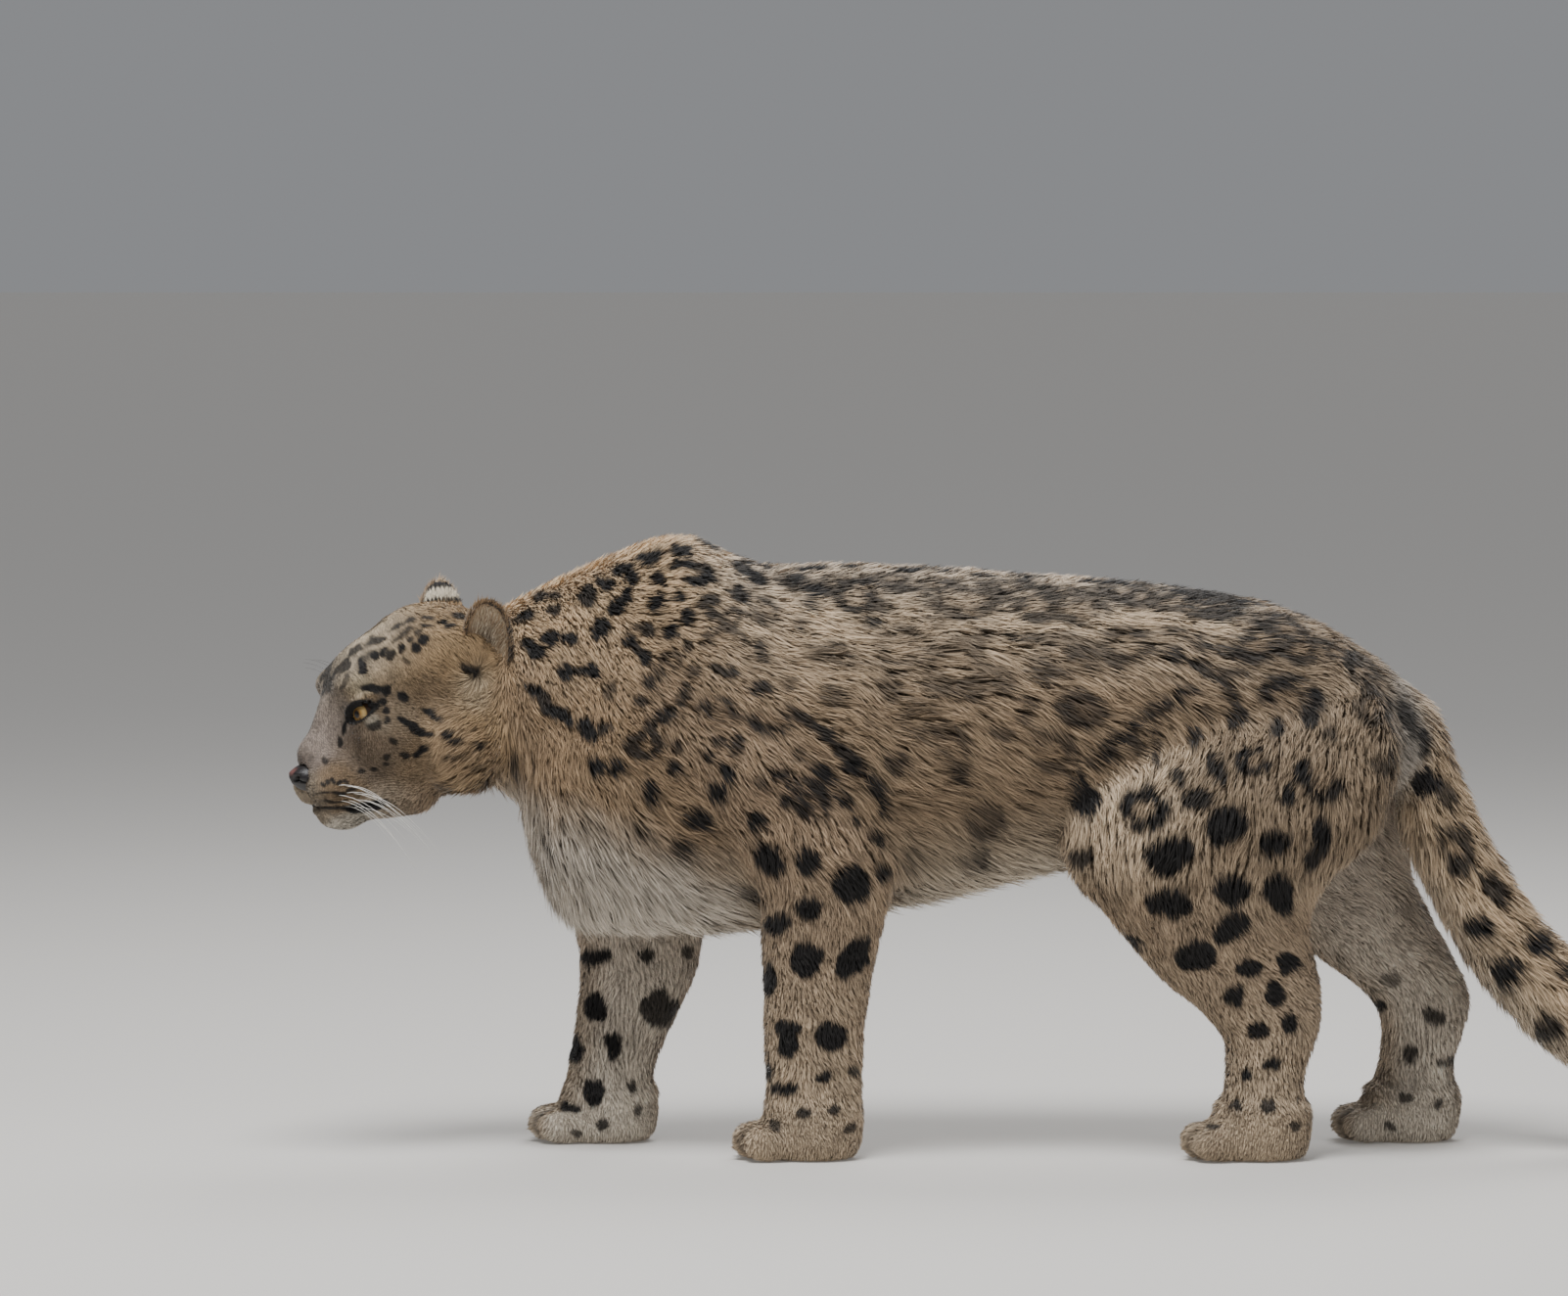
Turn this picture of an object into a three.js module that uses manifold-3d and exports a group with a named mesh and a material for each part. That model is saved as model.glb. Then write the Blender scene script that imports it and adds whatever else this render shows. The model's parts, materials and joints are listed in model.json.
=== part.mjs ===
// A snow leopard at life size, walking slowly with its head low and turned a little to its left.
// Millimetres, +Z up, the head towards -X and the animal's left side towards -Y.
// The origin is on the ground under the middle of the body and tail.
import * as THREE from "three";
import { LoftGeometry } from "three/addons/geometries/LoftGeometry.js";
import { mergeVertices } from "three/addons/utils/BufferGeometryUtils.js";
import Module from "manifold-3d";

const wasm = await Module();
wasm.setup();

// Driving dimensions
const GAP = 0.3;
const HEAD_PIVOT = new THREE.Vector3(-675, 0, 480);
const HEAD_YAW = THREE.MathUtils.degToRad(22);
const HEAD_SEGMENTS = 26;
const HEAD_RINGS = 24;
const TRUNK_SEGMENTS = 20;
const TRUNK_RING_STEP = 70;
const LEG_SEGMENTS = 12;
const LEG_RING_STEP = 40;
const TAIL_SEGMENTS = 11;
const TAIL_RING_STEP = 44;
const PAW_TOP = 60;

// Outline of neck and body with the coat: x, height of the back, height of the belly, half width
const TRUNK = [
  [-690, 548, 392, 60],
  [-665, 562, 374, 74],
  [-645, 573, 364, 80],
  [-635, 578, 347, 83],
  [-625, 583, 316, 86],
  [-613, 589, 275, 90],
  [-595, 597, 240, 96],
  [-560, 612, 224, 104],
  [-520, 623, 220, 112],
  [-475, 625, 222, 120],
  [-425, 612, 229, 126],
  [-390, 605, 235, 130],
  [-325, 606, 245, 135],
  [-225, 602, 260, 138],
  [-125, 595, 286, 135],
  [-25, 588, 308, 127],
  [55, 578, 320, 120],
  [125, 563, 326, 114],
  [185, 538, 334, 104],
  [235, 506, 350, 84],
  [268, 474, 378, 56],
  [284, 452, 402, 30],
];
// The shoulder blades stand above the spine, and the hips push out at the top of the rump.
const TRUNK_BUMPS = [
  { x: -482, spread: 52, angle: 26, fan: 20, height: 24 },
  { x: -430, spread: 60, angle: 62, fan: 26, height: 9 },
  { x: 150, spread: 60, angle: 40, fan: 24, height: 8 },
];
const NECK_CUT = { at: new THREE.Vector3(-583, 0, 498), normal: new THREE.Vector3(-0.918, 0, 0.396) };

// Legs, from the top down: height, x, reach forward, reach back, half width, y of the middle
const LEGS = {
  foreleg_left: [
    [520, -450, 56, 52, 12, -82],
    [490, -436, 88, 80, 23, -90],
    [452, -418, 98, 92, 33, -93],
    [410, -394, 92, 88, 41, -94],
    [335, -352, 84, 88, 46, -89],
    [275, -331, 70, 69, 45, -84],
    [225, -335, 65, 63, 43, -80],
    [175, -339, 58, 58, 41, -77],
    [125, -343, 54, 55, 39, -75],
    [85, -343, 52, 54, 38, -74],
    [60, -344, 53, 52, 39, -74],
  ],
  foreleg_right: [
    [520, -485, 56, 52, 12, 82],
    [490, -474, 86, 78, 23, 90],
    [450, -468, 96, 88, 33, 93],
    [395, -470, 92, 84, 41, 93],
    [305, -488, 88, 82, 45, 88],
    [235, -520, 73, 72, 44, 82],
    [185, -524, 65, 66, 41, 78],
    [145, -533, 58, 59, 38, 76],
    [105, -545, 51, 52, 36, 75],
    [75, -553, 47, 48, 37, 74],
    [60, -556, 48, 48, 38, 74],
  ],
  hindleg_left: [
    [528, 150, 40, 40, 10, -46],
    [485, 145, 92, 88, 24, -70],
    [435, 116, 146, 140, 42, -86],
    [385, 88, 170, 164, 54, -90],
    [335, 71, 163, 160, 56, -90],
    [295, 54, 137, 136, 52, -87],
    [255, 60, 109, 108, 48, -84],
    [215, 76, 93, 95, 43, -81],
    [182, 96, 84, 84, 38, -79],
    [150, 118, 66, 64, 34, -78],
    [122, 124, 51, 51, 32, -78],
    [90, 120, 45, 44, 33, -78],
    [60, 115, 47, 46, 36, -78],
  ],
  hindleg_right: [
    [524, 165, 36, 36, 10, 44],
    [485, 160, 86, 82, 24, 70],
    [435, 150, 124, 120, 42, 86],
    [385, 147, 134, 132, 53, 90],
    [335, 157, 119, 120, 54, 89],
    [285, 182, 98, 98, 49, 86],
    [235, 217, 83, 85, 44, 83],
    [190, 254, 72, 74, 39, 80],
    [155, 286, 58, 58, 34, 79],
    [122, 292, 48, 49, 32, 78],
    [90, 286, 43, 43, 33, 78],
    [60, 279, 46, 45, 36, 78],
  ],
};
// Each leg is parted by level cuts at these heights, from the body down to the paw.
const LEG_CUTS = {
  foreleg: { names: ["upper_arm", "forearm"], heights: [262] },
  hindleg: { names: ["thigh", "shank", "hock"], heights: [236, 150] },
};
const PAW = { reach: 66, heel: 50, halfWidth: 43, toeReach: 27, toeHalfWidth: 15, toeHeight: 20 };
// The foot from its broadest place down to the sole: height, and how much its reach, heel and half width
// differ from the paw's
const PAW_LEVELS = [
  [40, -6, 2, -1],
  [18, 0, 1, 1],
  [6, -2, -4, -2],
  [0, -8, -10, -7],
];
const TOES = [
  { side: -31, back: 17 },
  { side: -11, back: 5 },
  { side: 11, back: 5 },
  { side: 31, back: 17 },
];

// Middle of the tail from the rump to the tip: x, y, z, radius with its fur
const TAIL = [
  [232, 0, 470, 34],
  [262, 0, 440, 40],
  [283, -2, 385, 41],
  [303, -5, 330, 42],
  [327, -8, 285, 43],
  [355, -11, 235, 45],
  [390, -14, 190, 47],
  [450, -17, 138, 50],
  [528, -18, 100, 52],
  [615, -14, 84, 52],
  [700, -4, 94, 51],
  [780, 8, 126, 48],
  [840, 18, 172, 39],
  [862, 22, 196, 22],
];
const TAIL_CUTS = [0.28, 0.53, 0.78];

// The head's masses: forward of the pivot, to the side, above the pivot, then their three half sizes.
// A mass with a side stands on both sides of the head.
const HEAD_MASSES = {
  cranium: { at: [60, 0, 14], size: [84, 63, 76] },
  forehead: { at: [122, 0, 4], size: [57, 44, 49] },
  brow: { at: [155, 29, 4], size: [25, 19, 16] },
  temple: { at: [44, 44, 26], size: [42, 28, 42] },
  bridge: { at: [163, 0, -34], size: [30, 23, 30] },
  nose_ridge: { at: [180, 0, -64], size: [31, 19, 23] },
  muzzle: { at: [150, 0, -87], size: [52, 39, 33] },
  whisker_pad: { at: [178, 23, -98], size: [29, 23, 22] },
  chin: { at: [164, 0, -127], size: [25, 21, 20] },
  jaw: { at: [116, 24, -108], size: [52, 23, 23] },
  throat: { at: [76, 0, -78], size: [74, 52, 34] },
  face: { at: [120, 0, -50], size: [53, 41, 49] },
  cheekbone: { at: [112, 38, -42], size: [48, 27, 31] },
  ruff: { at: [46, 57, -56], size: [46, 34, 55] },
};
const HEAD_BLEND = 22;
// Rays leave this point of the head; their pole runs down through the muzzle.
const HEAD_CENTRE = [98, 0, -42];
const HEAD_POLE = THREE.MathUtils.degToRad(-26);
// A ray's surface is looked for from outside in steps, and then by halving the last one.
const RAY = { far: 150, step: 4, halvings: 12 };
const EYE = { at: [147, 36, -21], radius: 17, outward: 34, up: 2 };
const SOCKET = { size: [13, 21, 14], forward: 17 };
const LID = { radius: 16, thickness: 3.2, squint: 0.64, slant: 28 };
const NOSE = { at: [199, 0, -89], size: [18, 18, 14], pinch: 0.55 };
const NOSTRIL = { at: [214, 9.5, -91], size: [9, 3.6, 4], tilt: 25 };
const MOUTH = [
  [225, -114],
  [196, -119],
  [175, -118],
  [150, -114],
  [131, -111],
  [112, -140],
  [104, -162],
];
const MOUTH_GAP = 1;
const LIP = { centre: 150, reach: 42, sweep: 104, rise: 3.6, sunk: 1, radius: 3.4, taper: 0.6 };
const LIP_STEPS = 10;
const LIP_SEGMENTS = 4;
// The right ear is turned further back than the left one.
const EAR = { at: [32, 62, 48], size: [28, 17, 52], wall: 4, cup: 10, lean: 15 };
const EAR_OUTWARD = { left: 64, right: 82 };

// Locks of the long coat. The core of a node that carries them lies `inset` under the outline of the coat,
// and the locks rise from it nearly to that outline. `along` and `around` are the steps from root to root.
const LOCK_SEED = 7;
const INSET = { back: 2, flank: 12, belly: 16, leg: 9, tail: 12, ruff: 9 };
// Share of its step or length by which a lock may differ from the even pattern
const STRAY = 0.15;
const LOCK_SHAPE = [
  { share: 0, height: -0.8, width: 0.8 },
  { share: 0.34, height: 0.6, width: 1 },
  { share: 0.72, height: 0.85, width: 0.7 },
  { share: 1, height: 0.8, width: 0.1 },
];
// The back's short coat has no locks; they start at this angle from the top of the back.
const TRUNK_LOCKS = { from: -650, to: 220, along: 98, around: 40, length: 124, width: 78, thickness: 9 };
const TRUNK_LOCK_TOP = 44;
// How far the locks of the trunk turn down over their length, above and below its widest line
const TRUNK_DROOP = { upper: 24, lower: 14 };
const TAIL_LOCKS = { from: 129, along: 92, around: 90, length: 112, width: 50, thickness: 8 };
const LEG_LOCKS = {
  foreleg: { from: 390, to: 290, along: 60, turns: [158, 202], length: 86, width: 40, thickness: 8 },
  hindleg: { from: 420, to: 270, along: 68, turns: [156, 200], length: 92, width: 44, thickness: 8 },
};
const RUFF_LOCKS = { tilts: [88, 112], turns: [100, 122, 144], length: 52, width: 32, thickness: 7 };
// How far round the head a lock of the ruff turns over its length
const RUFF_TURN = 0.12;
const RUFF_EDGE = { tilt: 78, turn: 84, fade: 16 };
// About how far the ruff stands from the head's centre
const RUFF_REACH = 90;

const materials = {
  coat: new THREE.MeshStandardMaterial({ color: 0xa8977c, roughness: 0.9 }),
  pale: new THREE.MeshStandardMaterial({ color: 0xc9c1b4, roughness: 0.9 }),
  nose: new THREE.MeshStandardMaterial({ color: 0x1d1514, roughness: 0.45 }),
  eye: new THREE.MeshStandardMaterial({ color: 0xb8935a, roughness: 0.08 }),
};

// A closed solid from a geometry: like vertices merged, faces without area dropped, faces turned outward.
function solid(geometry) {
  const bare = new THREE.BufferGeometry().copy(geometry);
  bare.deleteAttribute("normal");
  bare.deleteAttribute("uv");
  const merged = mergeVertices(bare, 1e-3);
  const at = merged.getAttribute("position");
  const corners = [new THREE.Vector3(), new THREE.Vector3(), new THREE.Vector3()];
  const faces = [];
  let volume = 0;
  for (let i = 0; i < merged.index.count; i += 3) {
    const face = [0, 1, 2].map((k) => merged.index.getX(i + k));
    if (new Set(face).size === 3) {
      faces.push(face);
      face.forEach((v, k) => corners[k].fromBufferAttribute(at, v));
      volume += corners[0].dot(corners[1].clone().cross(corners[2]));
    }
  }
  const outward = faces.map(([a, b, c]) => (volume > 0 ? [a, b, c] : [a, c, b]));
  const triVerts = new Uint32Array(outward.flat());
  const mesh = new wasm.Mesh({ numProp: 3, vertProperties: new Float32Array(at.array), triVerts });
  return new wasm.Manifold(mesh);
}

function largest(body) {
  return body.decompose().sort((a, b) => b.volume() - a.volume())[0];
}

function meshOf(body, material, name) {
  const { vertProperties, triVerts } = largest(body).getMesh();
  const geometry = new THREE.BufferGeometry();
  geometry.setAttribute("position", new THREE.BufferAttribute(vertProperties, 3));
  geometry.setIndex(new THREE.BufferAttribute(triVerts, 1));
  geometry.computeVertexNormals();
  const mesh = new THREE.Mesh(geometry, material);
  mesh.name = name;
  return mesh;
}

// A smooth curve through the rows of a table, with the place of each row on it by the length between rows
function splineOf(table, lengthOf) {
  const places = [0];
  for (let i = 1; i < table.length; i += 1) {
    places.push(places[i - 1] + lengthOf(table[i - 1], table[i]));
  }
  const width = table[0].length;
  const curve = new THREE.CubicInterpolant(places, table.flat(), width, new Float32Array(width));
  const rowAt = (place) => Array.from(curve.evaluate(THREE.MathUtils.clamp(place, 0, places.at(-1))));
  return { places, rowAt };
}

// Rows of a table, evened out to about one row each `step`
function evenRows(table, step, lengthOf) {
  const { places, rowAt } = splineOf(table, lengthOf);
  const rows = [];
  for (let i = 1; i < places.length; i += 1) {
    const parts = Math.max(1, Math.round((places[i] - places[i - 1]) / step));
    for (let k = 0; k < parts; k += 1) {
      rows.push(rowAt(THREE.MathUtils.lerp(places[i - 1], places[i], k / parts)));
    }
  }
  rows.push(table.at(-1));
  return rows;
}

const alongX = (a, b) => b[0] - a[0];
const downZ = (a, b) => a[0] - b[0];
const inSpace = (a, b) => Math.hypot(b[0] - a[0], b[1] - a[1], b[2] - a[2]);

function turnsOf(segments) {
  return Array.from({ length: segments }, (_, k) => (2 * Math.PI * k) / segments);
}

// A section drawn in to its middle, so that the loft's end closes as a fan
function closing(section) {
  const middle = new THREE.Vector3();
  section.forEach((point) => middle.addScaledVector(point, 1 / section.length));
  return section.map(() => middle);
}

function loft(sections) {
  return solid(new LoftGeometry([closing(sections[0]), ...sections, closing(sections.at(-1))]));
}

// Neck and body as one loft of upright sections, wider or narrower by `grow`
function trunkPoint([x, top, belly, half], turn, grow) {
  const middle = (top + belly) / 2;
  const up = Math.cos(turn);
  const across = Math.sin(turn);
  const degrees = Math.abs(THREE.MathUtils.radToDeg(Math.atan2(across, up)));
  let bump = grow;
  for (const b of TRUNK_BUMPS) {
    bump += b.height * Math.exp(-(((x - b.x) / b.spread) ** 2) - ((degrees - b.angle) / b.fan) ** 2);
  }
  return new THREE.Vector3(x, (half + bump) * across, middle + ((top - belly) / 2 + bump) * up);
}

function trunkBody(grow = 0) {
  const rows = evenRows(TRUNK, TRUNK_RING_STEP, alongX);
  return loft(rows.map((row) => turnsOf(TRUNK_SEGMENTS).map((turn) => trunkPoint(row, turn, grow))));
}

// How deep the core lies under the coat: hardly on the back, deeper towards the belly
function trunkInset(turn) {
  const low = (1 - Math.cos(turn)) / 2;
  const locked = THREE.MathUtils.smoothstep(low, 0.02, 0.2);
  return THREE.MathUtils.lerp(INSET.back, THREE.MathUtils.lerp(INSET.flank, INSET.belly, low), locked);
}

function trunkCore() {
  const rows = evenRows(TRUNK, TRUNK_RING_STEP, alongX);
  const turns = turnsOf(TRUNK_SEGMENTS);
  return loft(rows.map((row) => turns.map((turn) => trunkPoint(row, turn, -trunkInset(turn)))));
}

// A leg as a loft of level sections
function legPoint([z, x, front, back, side, y], turn, grow) {
  const ahead = Math.cos(turn);
  const reach = (ahead > 0 ? front : back) + grow;
  return new THREE.Vector3(x - reach * ahead, y + (side + grow) * Math.sin(turn), z);
}

// The core of a leg lies under the outline only at the back, as high up as its locks grow.
function legCore(kind, table) {
  const rows = evenRows(table, LEG_RING_STEP, downZ);
  const lowest = LEG_LOCKS[kind].to;
  const inset = (z, turn) =>
    INSET.leg * Math.max(0, -Math.cos(turn)) * THREE.MathUtils.smoothstep(z, lowest - 60, lowest);
  const turns = turnsOf(LEG_SEGMENTS);
  return loft(rows.map((row) => turns.map((turn) => legPoint(row, turn, -inset(row[0], turn)))));
}

function legBody(table, grow = 0) {
  const rows = evenRows(table, LEG_RING_STEP, downZ);
  rows[0][0] += grow;
  return loft(rows.map((row) => turnsOf(LEG_SEGMENTS).map((turn) => legPoint(row, turn, grow))));
}

function ball(at, size, segments, rings) {
  const geometry = new THREE.SphereGeometry(1, segments, rings);
  geometry.scale(...size);
  geometry.translate(...at);
  return geometry;
}

// A broad cat's paw: the foot spreading down to a flat sole, and four toes ahead of it
function pawBody([, x, front, back, side, y]) {
  const levels = [
    [PAW_TOP - GAP, front, back, side],
    ...PAW_LEVELS.map(([z, a, b, c]) => [z, PAW.reach + a, PAW.heel + b, PAW.halfWidth + c]),
  ];
  const foot = loft(
    levels.map(([z, reach, heel, half]) =>
      turnsOf(LEG_SEGMENTS).map((turn) => {
        const ahead = Math.cos(turn);
        return new THREE.Vector3(x - (ahead > 0 ? reach : heel) * ahead, y + half * Math.sin(turn), z);
      }),
    ),
  );
  const toes = TOES.map((toe) =>
    solid(
      ball(
        [x - PAW.reach + toe.back + 2, y + toe.side, PAW.toeHeight - 4],
        [PAW.toeReach, PAW.toeHalfWidth, PAW.toeHeight],
        7,
        5,
      ),
    ),
  );
  return wasm.Manifold.union([foot, ...toes]).trimByPlane([0, 0, 1], 0);
}

// Round sections square to a path of rows: x, y, z, radius.
// `across` is a direction that the path never takes.
function roundSections(rows, segments, across, grow = 0) {
  return rows.map(([x, y, z, radius], i) => {
    const before = rows[Math.max(0, i - 1)];
    const after = rows[Math.min(rows.length - 1, i + 1)];
    const along = new THREE.Vector3(...after).sub(new THREE.Vector3(...before)).normalize();
    const side = across.clone().cross(along).normalize();
    const up = along.clone().cross(side);
    return turnsOf(segments).map((turn) =>
      new THREE.Vector3(x, y, z)
        .addScaledVector(side, (radius + grow) * Math.cos(turn))
        .addScaledVector(up, (radius + grow) * Math.sin(turn)),
    );
  });
}

function tailSections(grow = 0) {
  const rows = evenRows(TAIL, TAIL_RING_STEP, inSpace);
  return roundSections(rows, TAIL_SEGMENTS, new THREE.Vector3(0, 1, 0), grow);
}

// The core of the tail comes out to the outline at its tip, where no lock is long enough to cover it.
function tailCore() {
  const rows = evenRows(TAIL, TAIL_RING_STEP, inSpace).map((row) => {
    const left = inSpace(row, TAIL.at(-1));
    const inset = INSET.tail * THREE.MathUtils.smoothstep(left, 0, TAIL_LOCKS.length);
    return [...row.slice(0, 3), row[3] - inset];
  });
  return loft(roundSections(rows, TAIL_SEGMENTS, new THREE.Vector3(0, 1, 0)));
}

function sectionPlane(section) {
  const [a, b, c] = [section[0], section[4], section[8]];
  const plane = new THREE.Plane().setFromCoplanarPoints(a, b, c);
  if (plane.normal.x < 0) {
    plane.negate();
  }
  return plane;
}

// From the head's own directions (forward, side, up) to the part's frame
function headPoint([forward, side, up]) {
  return new THREE.Vector3(-forward, side, up)
    .applyAxisAngle(new THREE.Vector3(0, 0, 1), HEAD_YAW)
    .add(HEAD_PIVOT);
}

function turnWithHead(geometry) {
  geometry.rotateZ(HEAD_YAW);
  geometry.translate(...HEAD_PIVOT);
  return geometry;
}

function nearness(p, at, size) {
  const q = [(p[0] - at[0]) / size[0], (p[1] - at[1]) / size[1], (p[2] - at[2]) / size[2]];
  const k0 = Math.hypot(...q);
  const k1 = Math.hypot(q[0] / size[0], q[1] / size[1], q[2] / size[2]);
  return k0 < 1e-6 ? -Math.min(...size) : (k0 * (k0 - 1)) / k1;
}

function softJoin(a, b, blend) {
  const h = Math.max(blend - Math.abs(a - b), 0) / blend;
  return Math.min(a, b) - (h * h * blend) / 4;
}

// How far a point in the head's directions is outside its skin, by all masses blended together
function headField([forward, side, up]) {
  const p = [forward, Math.abs(side), up];
  return Object.values(HEAD_MASSES)
    .map((mass) => nearness(p, mass.at, mass.size))
    .reduce((all, one) => softJoin(all, one, HEAD_BLEND));
}

// Where a ray that leaves a point inside the head comes out of its skin
function onSkin(start, direction, grow) {
  const at = (d) => headField(start.map((s, k) => s + direction[k] * d)) - grow;
  const { far, step, halvings } = RAY;
  let outside = far;
  while (outside > step && at(outside - step) > 0) {
    outside -= step;
  }
  let inside = Math.max(0, outside - step);
  for (let i = 0; i < halvings; i += 1) {
    const half = (inside + outside) / 2;
    if (at(half) > 0) {
      outside = half;
    } else {
      inside = half;
    }
  }
  return start.map((s, k) => s + direction[k] * inside);
}

// The head is wrapped over its masses: rays leave its centre and stop at the blended surface.
function headSurface(tilt, turn, grow) {
  const pole = new THREE.Vector3(Math.cos(HEAD_POLE), 0, Math.sin(HEAD_POLE));
  const up = new THREE.Vector3(-pole.z, 0, pole.x);
  const ray = pole
    .clone()
    .multiplyScalar(Math.cos(tilt))
    .addScaledVector(up, Math.sin(tilt) * Math.cos(turn))
    .addScaledVector(new THREE.Vector3(0, 1, 0), Math.sin(tilt) * Math.sin(turn));
  return headPoint(onSkin(HEAD_CENTRE, ray.toArray(), grow));
}

function headLoft(growAt) {
  const sections = [];
  for (let i = 1; i < HEAD_RINGS; i += 1) {
    const tilt = Math.PI * (i / HEAD_RINGS) ** 1.2;
    sections.push(turnsOf(HEAD_SEGMENTS).map((turn) => headSurface(tilt, turn, growAt(tilt, turn))));
  }
  return loft(sections);
}

function headBody(grow = 0) {
  return headLoft(() => grow);
}

// The core of the head lies under the outline only below its ruff.
function headCore() {
  return headLoft((tilt, turn) => {
    const round = THREE.MathUtils.radToDeg(Math.PI - Math.abs(turn - Math.PI));
    const back = THREE.MathUtils.radToDeg(tilt);
    const { tilt: front, turn: top, fade } = RUFF_EDGE;
    const behind = THREE.MathUtils.smoothstep(back, front, front + fade);
    const under = THREE.MathUtils.smoothstep(round, top, top + fade);
    return -INSET.ruff * behind * under;
  });
}

// A lip as a cord along the line of the mouth, laid on the skin of the muzzle
function lipBody(rise) {
  const sweep = THREE.MathUtils.degToRad(LIP.sweep);
  const rows = [];
  for (let i = 0; i <= LIP_STEPS; i += 1) {
    const share = (2 * i) / LIP_STEPS - 1;
    const ray = [Math.cos(share * sweep), Math.sin(share * sweep), 0];
    const level = mouthLevel(LIP.centre + LIP.reach * ray[0]) + rise;
    const at = headPoint(onSkin([LIP.centre, 0, level], ray, -LIP.sunk));
    rows.push([...at.toArray(), LIP.radius * (1 - LIP.taper * share ** 8)]);
  }
  return loft(roundSections(rows, LIP_SEGMENTS, new THREE.Vector3(0, 0, 1)));
}

function mouthLevel(forward) {
  const next = MOUTH.findIndex(([f]) => f <= forward);
  const [[f0, h0], [f1, h1]] = [MOUTH[next - 1], MOUTH[next]];
  return THREE.MathUtils.mapLinear(forward, f0, f1, h0, h1);
}

function eyeBody(side, grow = 0) {
  const [forward, out, up] = EYE.at;
  const size = EYE.radius + grow;
  return solid(turnWithHead(ball([-forward, side * out, up], [size, size, size], 10, 8)));
}

// Turns a form made about an eye's middle, looking forward, into the eye's own place and gaze
function placeAtEye(geometry, side) {
  geometry.rotateX(side * THREE.MathUtils.degToRad(LID.slant));
  geometry.rotateY(THREE.MathUtils.degToRad(EYE.up));
  geometry.rotateZ(side * THREE.MathUtils.degToRad(-EYE.outward));
  geometry.translate(-EYE.at[0], side * EYE.at[1], EYE.at[2]);
  return solid(turnWithHead(geometry));
}

// Both lids of an eye, as one almond ring of skin that lies on the ball
function lidBody(side) {
  const ring = new THREE.TorusGeometry(LID.radius, LID.thickness, 5, 14);
  ring.rotateY(-Math.PI / 2);
  const at = ring.getAttribute("position");
  for (let i = 0; i < at.count; i += 1) {
    const round = Math.atan2(at.getZ(i), at.getY(i));
    const high = LID.radius * Math.sin(round);
    const wide = LID.radius * Math.cos(round);
    const flat = Math.hypot(wide, high * LID.squint);
    at.setZ(i, at.getZ(i) - high * (1 - LID.squint));
    at.setX(i, at.getX(i) - Math.sqrt(EYE.radius ** 2 - flat ** 2));
  }
  return placeAtEye(ring, side);
}

function socketBody(side) {
  return placeAtEye(ball([-SOCKET.forward, 0, 0], SOCKET.size, 10, 8), side);
}

function noseBody(grow = 0) {
  const [forward, , up] = NOSE.at;
  const pad = ball([0, 0, 0], NOSE.size.map((s) => s + grow), 12, 8);
  const at = pad.getAttribute("position");
  for (let i = 0; i < at.count; i += 1) {
    const low = Math.max(0, -at.getZ(i) / NOSE.size[2]);
    at.setY(i, at.getY(i) * (1 - NOSE.pinch * low));
  }
  pad.translate(-forward, 0, up);
  return solid(turnWithHead(pad));
}

function nostrilBody(side) {
  const [forward, out, up] = NOSTRIL.at;
  const hole = ball([0, 0, 0], NOSTRIL.size, 8, 6);
  hole.rotateX(side * THREE.MathUtils.degToRad(NOSTRIL.tilt));
  hole.rotateZ(side * THREE.MathUtils.degToRad(-20));
  hole.translate(-forward, side * out, up);
  return solid(turnWithHead(hole));
}

// The blade that opens the line of the mouth and parts the lower jaw behind its corner
function mouthBlade() {
  const line = MOUTH.map(([forward, up]) => new THREE.Vector2(-forward, up));
  const under = line.map((p) => p.clone().add(new THREE.Vector2(-MOUTH_GAP * 0.5, -MOUTH_GAP)));
  const shape = new THREE.Shape([...line, ...under.reverse()]);
  const blade = new THREE.ExtrudeGeometry(shape, { depth: 140, bevelEnabled: false });
  blade.translate(0, 0, -70);
  blade.rotateX(Math.PI / 2);
  return solid(turnWithHead(blade));
}

function earBody(side) {
  const outer = ball([0, 0, 0], EAR.size, 12, 8);
  const innerSize = EAR.size.map((s, k) => s - (k === 1 ? 0 : EAR.wall));
  const inner = ball([0, EAR.cup, 2], innerSize, 12, 8);
  const outward = side < 0 ? EAR_OUTWARD.left : EAR_OUTWARD.right;
  const place = (geometry) => {
    geometry.scale(1, side, 1);
    geometry.rotateX(side * THREE.MathUtils.degToRad(-EAR.lean));
    geometry.rotateZ(side * THREE.MathUtils.degToRad(90 - outward));
    geometry.translate(-EAR.at[0], side * EAR.at[1], EAR.at[2]);
    return solid(turnWithHead(geometry));
  };
  return place(outer).subtract(place(inner));
}

const jitter = (spread) => spread * (2 * THREE.MathUtils.seededRandom() - 1);

// A flat, tapering lock. `surface` gives the point at two surface values and a height over the outline of
// the coat. The lock runs from `start` by `run` of those two values, and rises from the core to the outline.
function lockBody(surface, start, run, inset, { width, thickness }) {
  const wide = width * (1 + jitter(0.14));
  const sway = jitter(0.12);
  const spots = LOCK_SHAPE.map(({ share, height }) => {
    const [u, v] = [start[0] + run[0] * share, start[1] + run[1] * (share + sway * share * share)];
    const top = surface(u, v, (height - 1) * inset);
    return { top, out: surface(u, v, height * inset).sub(top).normalize() };
  });
  const sections = spots.map(({ top, out }, i) => {
    const before = spots[Math.max(0, i - 1)].top;
    const after = spots[Math.min(spots.length - 1, i + 1)].top;
    const across = after.clone().sub(before).cross(out).normalize();
    const half = (wide * LOCK_SHAPE[i].width) / 2;
    const thick = thickness * LOCK_SHAPE[i].width;
    const under = top.clone().addScaledVector(out, -thick);
    return [under.clone().addScaledVector(across, half), top, under.clone().addScaledVector(across, -half)];
  });
  return loft(sections);
}

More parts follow.
